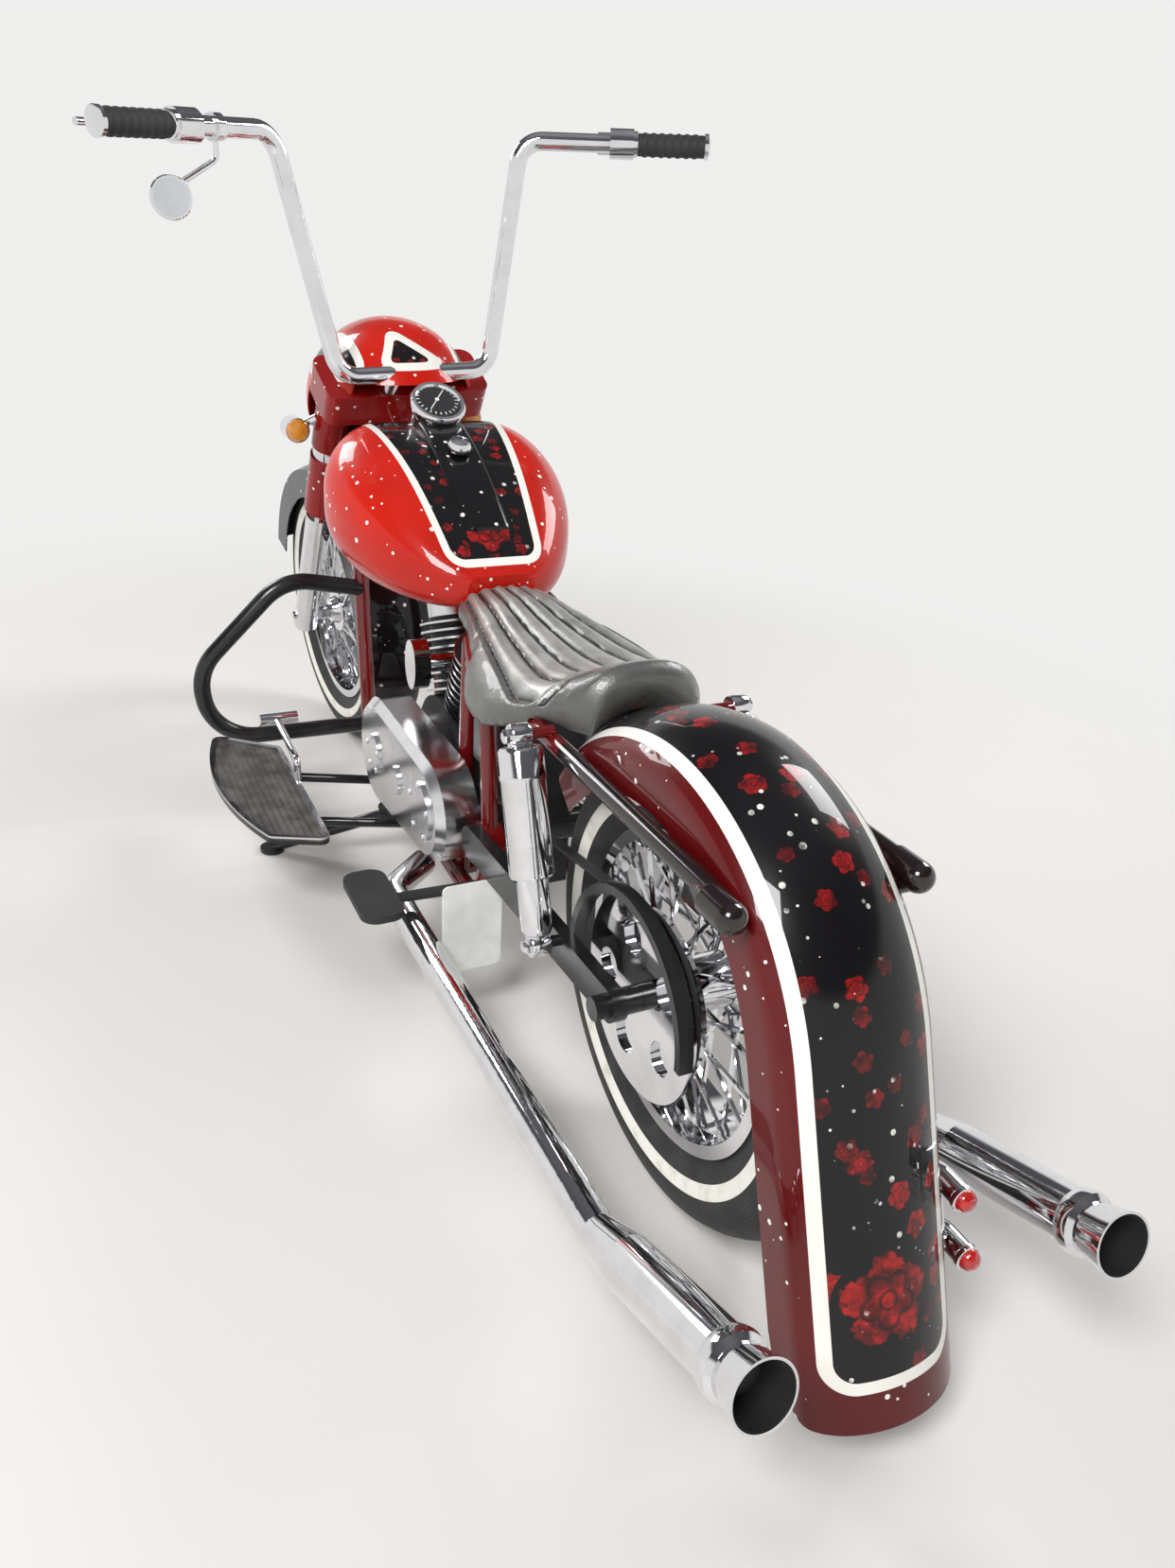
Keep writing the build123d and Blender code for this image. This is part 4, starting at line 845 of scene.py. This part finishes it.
@dataclass(frozen=True)
class Seat:
    """The solo seat: grey, with lengthwise pleats and a raised roll at the back."""

    stations: Rings = (
        (0.205, 0.078), (0.225, 0.096), (0.262, 0.118), (0.3, 0.14), (0.386, 0.16), (0.47, 0.158),
        (0.56, 0.127), (0.64, 0.098), (0.722, 0.082),
    )
    pleats: int = 6
    fan: tuple[float, float] = (0.071, 0.175)
    pleat_depth: float = 0.012
    roll_x: float = 0.282
    seam_depth: float = 0.01
    voxel: float = 0.0045
    cap: float = 0.006
    pressure: float = 3.0
    stuffing_frames: int = 14
    softenings: int = 6
    weld: float = 0.00005
    rim: float = 0.03
    top: float = 0.2

    def half_width(self, x: float) -> float:
        """Look up half the seat's width.

        Args:
            x: how far forward.

        Returns:
            Half the width there.
        """
        for (low, wide), (high, next_wide) in zip(self.stations, self.stations[1:]):
            if x <= high:
                share = max(0.0, (x - low) / (high - low))
                return wide + (next_wide - wide) * share
        return self.stations[-1][1]

    def pleated_half(self, x: float) -> float:
        """Half the width of the straight fan of pleats at X."""
        return min(self.fan[0] + (self.stations[-1][0] - x) * self.fan[1], self.half_width(x) * 0.93)

    def groove(self, place: Vector) -> float:
        """Find the depth of the stitched channels.

        Args:
            place: a point on the upright machine.

        Returns:
            The depth there, in metres.
        """
        across = place.y / self.pleated_half(place.x)
        end = min(1.0, max(0.0, (place.x - self.roll_x) / 0.02))
        pleat = 0.0
        if abs(across) <= 1.0:
            ridge = abs(math.sin(math.pi * (across + 1) * self.pleats / 2))
            pleat = self.pleat_depth * (1 - ridge ** 0.6) * end
        seam = self.seam_depth * math.exp(-(((place.x - self.roll_x + 0.004) / 0.006) ** 2))
        border = self.seam_depth * 0.6 * math.exp(-(((abs(across) - 1.0) / self.rim) ** 2)) * end
        return max(pleat, seam, border)

    def build(self, stance: Stance, node: Object, finish: Material) -> Object:
        """Model the padded seat over the CAD seat's own form.

        Args:
            stance: how the machine stands.
            node: the CAD seat.
            finish: its covering.

        Returns:
            The cushion.
        """
        bpy.ops.object.select_all(action="DESELECT")
        cushion = bpy.data.objects.new("seat_cushion", node.data.copy())
        bpy.context.scene.collection.objects.link(cushion)
        bpy.context.view_layer.objects.active = cushion
        cushion.select_set(True)
        bpy.ops.object.mode_set(mode="EDIT")
        bpy.ops.mesh.select_all(action="SELECT")
        bpy.ops.mesh.remove_doubles(threshold=self.weld)
        bpy.ops.object.mode_set(mode="OBJECT")
        modify(cushion, "REMESH", mode="VOXEL", voxel_size=self.voxel)
        modify(cushion, "SMOOTH", iterations=self.softenings)
        self._stuff(cushion)
        back = stance.leaned.inverted()
        mesh = cushion.data
        normals = [vertex.normal.copy() for vertex in mesh.vertices]
        sewn = mesh.attributes.new("sewn", "FLOAT", "POINT")
        border = mesh.attributes.new("border", "FLOAT", "POINT")
        for number, (vertex, normal) in enumerate(zip(mesh.vertices, normals)):
            place = back @ vertex.co
            outer = abs(place.y) / self.pleated_half(place.x)
            rim = max(0.0, min(1.0, (outer - 1.0) / self.rim))
            border.data[number].value = max(rim, 1.0 if place.x < self.roll_x else 0.0)
            if normal.z > self.top:
                depth = self.groove(place) * min(1.0, (normal.z - self.top) / 0.3)
                vertex.co -= normal * depth
                # The groove's depth is kept to paint shade into the grooves.
                sewn.data[number].value = depth / self.pleat_depth
        modify(cushion, "SUBSURF", levels=1, render_levels=1)
        bpy.ops.object.shade_smooth()
        dress(cushion, finish)
        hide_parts("seat")
        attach(cushion, "root")
        LOG.info("piece %s on root", cushion.name)
        return cushion

    def _stuff(self, cushion: Object) -> None:
        """Let cloth under pressure round the form out, and hold each point near its start.

        Args:
            cushion: the padded piece.
        """
        start = [vertex.co.copy() for vertex in cushion.data.vertices]
        cloth = cushion.modifiers.new("stuffing", "CLOTH")
        settings = cloth.settings
        settings.use_pressure = True
        settings.uniform_pressure_force = self.pressure
        settings.effector_weights.gravity = 0.0
        settings.quality = 4
        cloth.collision_settings.use_collision = False
        for number in range(1, self.stuffing_frames + 1):
            bpy.context.scene.frame_set(number)
        bpy.ops.object.modifier_apply(modifier="stuffing")
        bpy.context.scene.frame_set(1)
        for vertex, before in zip(cushion.data.vertices, start):
            move = vertex.co - before
            if move.length > self.cap:
                vertex.co = before + move.normalized() * self.cap

    def covering(self, stance: Stance) -> Material:
        """Grey grained vinyl with a pearl sheen, darker at its border, and painted shade in the pleats'
        grooves.

        Args:
            stance: how the machine stands.

        Returns:
            The material.
        """
        graph = Graph("grey_vinyl", stance.leaned)
        cloud = graph.noise(16, 3, 0.6)
        tone = graph.mix(cloud.ramp(0.3, 0.75), (0.25, 0.25, 0.235), (0.44, 0.44, 0.41))
        tone = graph.mix(graph.attribute("border") * 0.8, tone, (0.075, 0.075, 0.072))
        # Painted shade: the pleats' grooves darken to near black with their depth.
        tone = graph.mix(graph.attribute("sewn").ramp(0.12, 0.7), tone, (0.012, 0.012, 0.012))
        graph.bump(graph.cells(620)[0], 0.0005, 0.6)
        return graph.finish(Base_Color=tone, Roughness=cloud * 0.12 + 0.24, Metallic=0.3, Coat_Weight=0.35)


def scaled(radius: float, shares: Rings) -> Rings:
    """Rings whose radii are given as shares of one radius."""
    return [(radius * share, height) for share, height in shares]


@dataclass(frozen=True)
class Lamps:
    """Lenses and rims of the lamps. The tail's and headlamp's rings are shares of their radius."""

    tail: Rings = ((-0.35, 0.251), (-0.375, 0.186))
    tail_y: float = -0.126
    tail_radius: float = 0.015
    tail_back: float = 0.027
    tail_lens: Rings = ((0.9, 0.0), (0.92, 0.004), (0.74, 0.011), (0.35, 0.015))
    tail_rim: Rings = ((0.96, -0.004), (1.1, -0.002), (1.1, 0.003), (0.94, 0.004))
    rim_ahead: float = 0.001
    head: Place = (1.513, 0, 0.858)
    head_radius: float = 0.094
    head_lens: Rings = ((0.96, 0.0), (0.9, 0.006), (0.6, 0.014), (0.2, 0.018))
    fork: Place = (1.366, 0.188, 0.81)
    fork_lens: Rings = ((0.0225, 0.0), (0.0225, 0.003), (0.018, 0.01), (0.008, 0.0135))

    def build(self, shop: Workshop) -> None:
        """Add every lens.

        Args:
            shop: the workshop.
        """
        back, ahead = (-1, 0, 0), (1, 0, 0)
        lens, rim = scaled(self.tail_radius, self.tail_lens), scaled(self.tail_radius, self.tail_rim)
        for number, (x, z) in enumerate(self.tail):
            face = x - self.tail_back
            shop.turn(f"tail_lens_{number}", lens, 32, "root", (face, self.tail_y, z), back,
                      RED_LENS.material(), "amber_lens")
            shop.turn(f"tail_rim_{number}", rim, 32, "root", (face + self.rim_ahead, self.tail_y, z), back)
        shop.turn("headlamp_lens", scaled(self.head_radius, self.head_lens), 64, "steering", self.head, ahead,
                  CLEAR_LENS.material(), "amber_lens")
        for side, word in SIDES:
            place = Vector(self.fork) * Vector((1, side, 1))
            shop.turn(f"fork_lens_{word}", self.fork_lens, 32, "steering", place, back,
                      AMBER_LENS.material(), "amber_lens")


@dataclass(frozen=True)
class Gauge:
    """The speedometer's dial and rim, and the knob behind it. The rim's and dial's rings are shares."""

    centre: Place = (1.063, 0.0, 0.89)
    tilt: float = 34.0
    above: float = 0.006
    radius: float = 0.047
    rim: Rings = ((1.0, -0.016), (1.09, -0.006), (1.09, 0.003), (1.02, 0.009), (0.9, 0.009), (0.84, 0.003))
    disc: Rings = ((0.87, 0.002), (0.87, 0.0045), (0.5, 0.005))
    ticks: tuple[float, float] = (0.033, 0.039)
    hub: float = 0.004
    needle_end: float = 0.031
    needle_half: float = 0.0009
    knob: Rings = ((0.019, -0.004), (0.021, 0.0), (0.021, 0.008), (0.017, 0.014), (0.008, 0.017))
    knob_place: Place = (0.944, 0, 0.838)
    knob_facing: Place = (-0.36, 0, 0.93)

    def dial(self, stance: Stance) -> Material:
        """Black dial with white ticks and a needle.

        Args:
            stance: how the machine stands.

        Returns:
            The material.
        """
        graph = Graph("dial", stance.leaned)
        x, y, _ = graph.split()
        u = (x - self.centre[0]) / math.cos(math.radians(self.tilt))
        radius = (u * u + y * y).root()
        ticks = radius.within(*self.ticks) * ((y * -1).angle(u) * 24).sine().above(0.8)
        needle = abs(u * 0.6 + y * 0.8).below(self.needle_half) * radius.below(self.needle_end)
        marks = ticks.most(needle).most(radius.below(self.hub))
        tone = graph.mix(marks, (0.012, 0.012, 0.014), (0.8, 0.8, 0.76))
        return graph.finish(Base_Color=tone, Roughness=graph.noise(400, 2) * 0.2 + 0.3, Coat_Weight=1.0)

    def build(self, shop: Workshop) -> None:
        """Add the rim, dial and knob.

        Args:
            shop: the workshop.
        """
        tilt = math.radians(self.tilt)
        face = Vector((-math.sin(tilt), 0, math.cos(tilt)))
        middle = Vector(self.centre) + face * self.above
        shop.turn("gauge_rim", scaled(self.radius, self.rim), 64, "root", middle, face)
        shop.turn("gauge_dial", scaled(self.radius, self.disc), 48, "root", middle, face,
                  self.dial(shop.stance), "black_paint")
        shop.turn("ignition_knob", self.knob, 32, "root", self.knob_place, self.knob_facing)


@dataclass(frozen=True)
class Trim:
    """Small turned trim: the exhausts' collars and near-black liners, which paint both soot and the shade
    inside the pipes, and the grips' caps and ribs.
    """

    mouth: Place = (-0.508, 0.226, 0.268)
    kink: Place = (-0.2, 0.236, 0.168)
    bar_end: Place = (1.049, 0.532, 1.324)
    bar_bend: Place = (1.209, 0.232, 1.328)
    collar: Rings = ((0.033, -0.013), (0.037, -0.008), (0.0385, 0.0), (0.037, 0.008), (0.031, 0.013))
    collar_in: float = 0.054
    liner: Rings = ((0.0222, -0.0572), (0.0346, -0.0012), (0.0338, -0.0012), (0.021, -0.054))
    cap: Rings = ((0.017, -0.004), (0.0222, -0.003), (0.0222, 0.004), (0.016, 0.007))
    cap_places: tuple[float, float] = (0.002, -0.129)
    rib: Rings = ((0.0192, -0.0045), (0.0205, -0.0025), (0.0205, 0.0025), (0.0192, 0.0045))
    rib_count: int = 7
    rib_start: float = 0.018
    rib_pitch: float = 0.0155

    def build(self, shop: Workshop) -> None:
        """Add every piece of trim.

        Args:
            shop: the workshop.
        """
        for side, word in SIDES:
            flip = Vector((1, side, 1))
            mouth, end = Vector(self.mouth) * flip, Vector(self.bar_end) * flip
            out = (mouth - Vector(self.kink) * flip).normalized()
            shop.turn(f"exhaust_collar_{word}", self.collar, 48, "root", mouth - out * self.collar_in, out)
            # The liner paints soot and the shade inside the pipe's mouth.
            shop.turn(f"exhaust_liner_{word}", self.liner, 48, "root", mouth, out, SOOT_AND_SHADE.material())
            bar = (end - Vector(self.bar_bend) * flip).normalized()
            for number, place in enumerate(self.cap_places):
                shop.turn(f"grip_cap_{word}_{number}", self.cap, 32, "steering", end + bar * place, bar)
            for number in range(self.rib_count):
                place = end - bar * (self.rib_start + self.rib_pitch * number)
                shop.turn(f"grip_rib_{word}_{number}", self.rib, 32, "steering", place, bar,
                          RUBBER.material(), "black_rubber")


@dataclass(frozen=True)
class Shock:
    """Smooth chrome shock absorbers in place of the CAD ones."""

    top: Place = (0.24, 0.168, 0.6)
    foot: Place = (0.15, 0.168, 0.33)
    can: Rings = (
        (0.012, 0.012), (0.027, 0.015), (0.0305, 0.02), (0.0305, 0.05), (0.0318, 0.052), (0.0318, 0.057),
        (0.0305, 0.059), (0.0305, 0.186), (0.029, 0.19), (0.0215, 0.1905), (0.0215, 0.262), (0.019, 0.268),
        (0.012, 0.272),
    )
    eye: Rings = (
        (0.0115, -0.0135), (0.0155, -0.0135), (0.0168, -0.0115), (0.0168, 0.0115), (0.0155, 0.0135),
        (0.0115, 0.0135),
    )
    nut: Rings = ((0.0105, 0.0), (0.0105, 0.007), (0.007, 0.01))

    def build(self, shop: Workshop) -> None:
        """Add both, each with its two eyes.

        Args:
            shop: the workshop.
        """
        for side, word in SIDES:
            flip = Vector((1, side, 1))
            top, foot = Vector(self.top) * flip, Vector(self.foot) * flip
            can = shop.turn(f"shock_can_{word}", self.can, 64, "root", top, foot - top)
            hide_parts(f"shock_{word}")
            for number, place in enumerate((top, foot)):
                shop.turn(f"shock_eye_{word}_{number}", self.eye, 40, "root", place, (0, 1, 0))
                face = place + Vector((0, side * self.eye[-1][1], 0))
                shop.turn(f"shock_nut_{word}_{number}", self.nut, 6, "root", face, (0, side, 0))


@dataclass(frozen=True)
class Engine:
    """The V-twin's finned barrels and the bolted lids of its covers."""

    crank: tuple[float, float] = (0.86, 0.285)
    half_angle: float = 22.5
    fin_edge: float = 0.0655
    head_end: float = 0.2605
    lids: tuple[Place, ...] = ((0.632, 0.3, 0.047), (0.905, 0.29, 0.034))
    lid_face: float = 0.181
    screw: Rings = ((0.005, -0.001), (0.005, 0.002), (0.0035, 0.0032))
    screw_count: int = 5

    def barrels(self, stance: Stance) -> Material:
        """Black fins with bright edges, and polished rocker boxes.

        Args:
            stance: how the machine stands.

        Returns:
            The material.
        """
        graph = Graph("finned_barrels", stance.leaned)
        x, y, z = graph.split()
        sine, cosine = math.sin(math.radians(self.half_angle)), math.cos(math.radians(self.half_angle))
        side, rise = abs(x - self.crank[0]), z - self.crank[1]
        across = side * cosine - rise * sine
        radius = (across * across + y * y).root()
        bright = radius.above(self.fin_edge).most((side * sine + rise * cosine).above(self.head_end))
        graph.bump(graph.noise(900, 2), 0.00015)
        return graph.finish(
            Base_Color=graph.mix(bright, (0.014, 0.014, 0.015), (0.74, 0.74, 0.76)),
            Metallic=bright * 0.8 + 0.2, Roughness=(1 - bright) * 0.3 + graph.noise(30, 3) * 0.1 + 0.1,
        )

    def build(self, shop: Workshop, cylinders: Object) -> None:
        """Dress the barrels and add the lids' screws.

        Args:
            shop: the workshop.
            cylinders: the CAD node.
        """
        dress(cylinders, self.barrels(shop.stance))
        for number, (x, z, reach) in enumerate(self.lids):
            for step in range(self.screw_count):
                turn = math.tau * (step + 0.25) / self.screw_count
                place = (x + reach * math.cos(turn), self.lid_face, z + reach * math.sin(turn))
                shop.turn(f"lid_screw_{number}_{step}", self.screw, 16, "root", place, (0, 1, 0))


@dataclass(frozen=True)
class Mirror:
    """The glass and rim of the mirror on the left grip. Their rings are shares of the radius."""

    centre: Place = (1.105, 0.43, 1.225)
    radius: float = 0.031
    rim: Rings = ((0.9, -0.008), (1.04, -0.005), (1.06, 0.0), (1.0, 0.003), (0.9, 0.003))
    glass: Rings = ((0.9, 0.002), (0.9, 0.0034), (0.6, 0.0036))

    def build(self, shop: Workshop) -> None:
        """Add the rim and the glass.

        Args:
            shop: the workshop.
        """
        for name, rings, finish in (("mirror_rim", self.rim, CHROME), ("mirror_glass", self.glass, MIRROR)):
            shop.turn(name, scaled(self.radius, rings), 48, "steering", self.centre, (-1, 0, 0),
                      finish.material())


def board_mat(stance: Stance) -> Material:
    """Black floorboard with a bright rim and a ribbed mat in its recess.

    Args:
        stance: how the machine stands.

    Returns:
        The material.
    """
    mat_low, mat_top, rim_top = 0.2035, 0.2065, 0.2105
    graph = Graph("floorboard", stance.leaned)
    _, y, z = graph.split()
    mat, rim = z.within(mat_low, mat_top), z.within(mat_top, rim_top)
    worn = graph.noise(26, 4).ramp(0.35, 0.7)
    rubber = graph.mix(worn, (0.05, 0.045, 0.042), (0.13, 0.118, 0.108))
    base = graph.mix(mat, graph.mix(rim, (0.01, 0.01, 0.011), (0.76, 0.76, 0.78)), rubber)
    graph.bump((y * 520).sine().ramp(-0.4, 0.4) * mat, 0.0016)
    return graph.finish(Base_Color=base, Metallic=rim, Roughness=mat * 0.5 + worn * 0.06 + 0.1)


def frame_finish(stance: Stance) -> Material:
    """Dark red gloss, with the struts beside the rear fender in black.

    Args:
        stance: how the machine stands.

    Returns:
        The material.
    """
    struts_front = 0.2
    graph = Graph("frame_paint", stance.leaned)
    cloud = graph.noise(20, 3)
    red = graph.mix(cloud, (0.16, 0.005, 0.005), (0.11, 0.004, 0.004))
    tone = graph.mix(graph.split()[0].below(struts_front), red, (0.012, 0.006, 0.006))
    graph.bump(graph.noise(90, 2), 0.00004)
    return graph.finish(Base_Color=tone, Roughness=cloud * 0.08 + 0.1, Coat_Weight=0.5)


@dataclass(frozen=True)
class Studio:
    """The pale floor and backdrop, the soft lamps and the camera of the photograph.

    Its sizes are in metres, its turns in degrees, its focal length and picture height in pixels, and each
    lamp has its name, place, width and watts.
    """

    floor_size: float = 40.0
    below: float = 0.0005
    fade: tuple[float, float] = (1.45, 3.3)
    sky: tuple[tuple[float, Colour], ...] = (
        (0.33, PALE), (0.47, (0.08, 0.08, 0.09)), (0.75, (0.11, 0.11, 0.12)), (1.0, (0.28, 0.28, 0.3)),
    )
    lamps: tuple[tuple[str, Place, float, float], ...] = (
        ("key_lamp", (-2.4, 2.6, 3.6), 1.5, 180.0),
        ("fill_lamp", (0.6, -3.4, 3.2), 1.6, 85.0),
        ("front_lamp", (4.0, 1.8, 3.2), 1.6, 85.0),
    )
    lit: Place = (0, 0, 0.5)
    eye: Place = (-1.0588, 0.7862, 1.1739)
    turns: Place = (-28.2, 24.3, 6.5)
    focal: float = 1239.1
    picture_height: float = 1658.0
    sensor: float = 36.0
    clip_end: float = 60.0

    def floor_finish(self) -> Material:
        """Pale floor that keeps the shadow near the machine and fades into the backdrop far from it."""
        graph = Graph("floor")
        x, y, _ = graph.split()
        path = graph.node("ShaderNodeLightPath")
        camera, glossy, through = (
            Num(graph, path.outputs[f"Is {kind} Ray"]) for kind in ("Camera", "Glossy", "Transmission")
        )
        share = (x * x + y * y).root().ramp(*self.fade) * camera.most(glossy).most(through)
        tone = graph.mix(graph.noise(1.2, 3), (0.74, 0.72, 0.69), (0.79, 0.77, 0.74))
        glow = graph.node("ShaderNodeEmission", {"Color": PALE, "Strength": 1.0})
        inputs = {0: share, 1: graph.shader.outputs[0], 2: glow.outputs[0]}
        graph.feed(graph.output.inputs["Surface"], graph.node("ShaderNodeMixShader", inputs).outputs[0])
        return graph.finish(Base_Color=tone, Roughness=0.75)

    def backdrop(self) -> None:
        """Give the world its tones by height: pale below the horizon and dark above it."""
        world = bpy.data.worlds.new("studio")
        bpy.context.scene.world = world
        world.use_nodes = True
        tree = world.node_tree
        way = tree.nodes.new("ShaderNodeSeparateXYZ")
        tree.links.new(tree.nodes.new("ShaderNodeTexCoord").outputs["Generated"], way.inputs[0])
        shade = tree.nodes.new("ShaderNodeValToRGB")
        shade.color_ramp.interpolation = "EASE"
        points = shade.color_ramp.elements
        for _ in self.sky[2:]:
            points.new(0.5)
        for point, (height, colour) in zip(points, self.sky):
            point.position = height
            point.color = (*colour, 1.0)
        tree.links.new(way.outputs["Z"], shade.inputs["Fac"])
        background = tree.nodes["Background"]
        tree.links.new(shade.outputs["Color"], background.inputs["Color"])
        background.inputs["Strength"].default_value = 1.0

    def aim(self) -> Matrix:
        """The camera's turn, from its heading, its pitch downward and its roll."""
        heading, pitch, roll = (math.radians(value) for value in self.turns)
        level = Matrix.Rotation(heading - math.pi / 2, 4, "Z") @ Matrix.Rotation(math.pi / 2 - pitch, 4, "X")
        return level @ Matrix.Rotation(roll, 4, "Z")

    def build(self, stance: Stance) -> None:
        """Build the floor, the backdrop, the lamps and the camera.

        Args:
            stance: how the machine stands.
        """
        bpy.ops.object.select_all(action="DESELECT")
        bpy.ops.mesh.primitive_plane_add(size=self.floor_size, location=(0, 0, -self.below))
        floor = bpy.context.active_object
        floor.name = "studio_floor"
        dress(floor, self.floor_finish())
        self.backdrop()
        link = bpy.context.scene.collection.objects.link
        for name, place, size, power in self.lamps:
            data = bpy.data.lights.new(name, "AREA")
            data.energy = power
            data.size = size
            lamp = bpy.data.objects.new(name, data)
            link(lamp)
            lamp.location = place
            lamp.rotation_euler = (Vector(self.lit) - Vector(place)).to_track_quat("-Z", "Y").to_euler()
        lens = bpy.data.cameras.new("camera")
        lens.lens = self.sensor * self.focal / self.picture_height
        lens.clip_end = self.clip_end
        camera = bpy.data.objects.new("camera", lens)
        link(camera)
        camera.matrix_world = Matrix.Translation(Vector(self.eye) - stance.shift) @ self.aim()
        bpy.context.scene.camera = camera
        bpy.context.scene.view_settings.view_transform = "Standard"


def main() -> None:
    """Load the frame, dress every node and add the pieces."""
    logging.basicConfig(level=logging.INFO, format="%(message)s")
    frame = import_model()
    nodes = frame["nodes"]
    stance = Stance.of(frame["joints"])
    slots = {"chrome": CHROME, "polished_alloy": ALLOY, "black_paint": ENAMEL, "black_alloy": CASTING,
             "amber_lens": CHROME, "black_rubber": RUBBER, "plate_white": PLATE, "red_frame": ENAMEL}
    for row in frame["record"]["subparts"]:
        if row["material_slot"] in slots:
            dress(nodes[row["node"]], slots[row["material_slot"]].material())
    dress(nodes["frame"], frame_finish(stance))
    # The fork covers and shroud take the candy red darkened by half as painted shade.
    for coat, names in ((Coat.RED, ("fork_covers", "fork_shroud")), (Coat.BLACK, ("front_fender", "dash"))):
        paint = CandyPaint(f"candy_{coat.value}", stance.steered, SHADED_SHELF_RED).plain(coat)
        for name in names:
            dress(nodes[name], paint)
    for _, word in SIDES:
        dress(nodes[f"floorboard_{word}"], board_mat(stance))
    for name, matrix, reach in (("rear", stance.leaned, 0.0), ("front", stance.steered, stance.wheelbase)):
        tyre = Tyre(f"{name}_tyre_rubber", matrix, (reach, stance.tyre_radius))
        dress(nodes[f"{name}_tyre"], tyre.material())
    shop = Workshop(stance)
    fender, nacelle, seat = RearFender(), Nacelle(), Seat()
    fender.dress(fender.build(stance), "fender_paint_panelled", stance.leaned)
    Tank().dress(nodes["fuel_tank"], "tank_paint_panelled", stance.leaned)
    nacelle.dress(nodes["nacelle"], "dome_paint_panelled", stance.steered)
    nacelle.build(shop)
    seat.build(stance, nodes["seat"], seat.covering(stance))
    Lamps().build(shop)
    Gauge().build(shop)
    Trim().build(shop)
    Shock().build(shop)
    Engine().build(shop, nodes["cylinders"])
    Mirror().build(shop)
    Studio().build(stance)


if __name__ == "__main__":
    main()
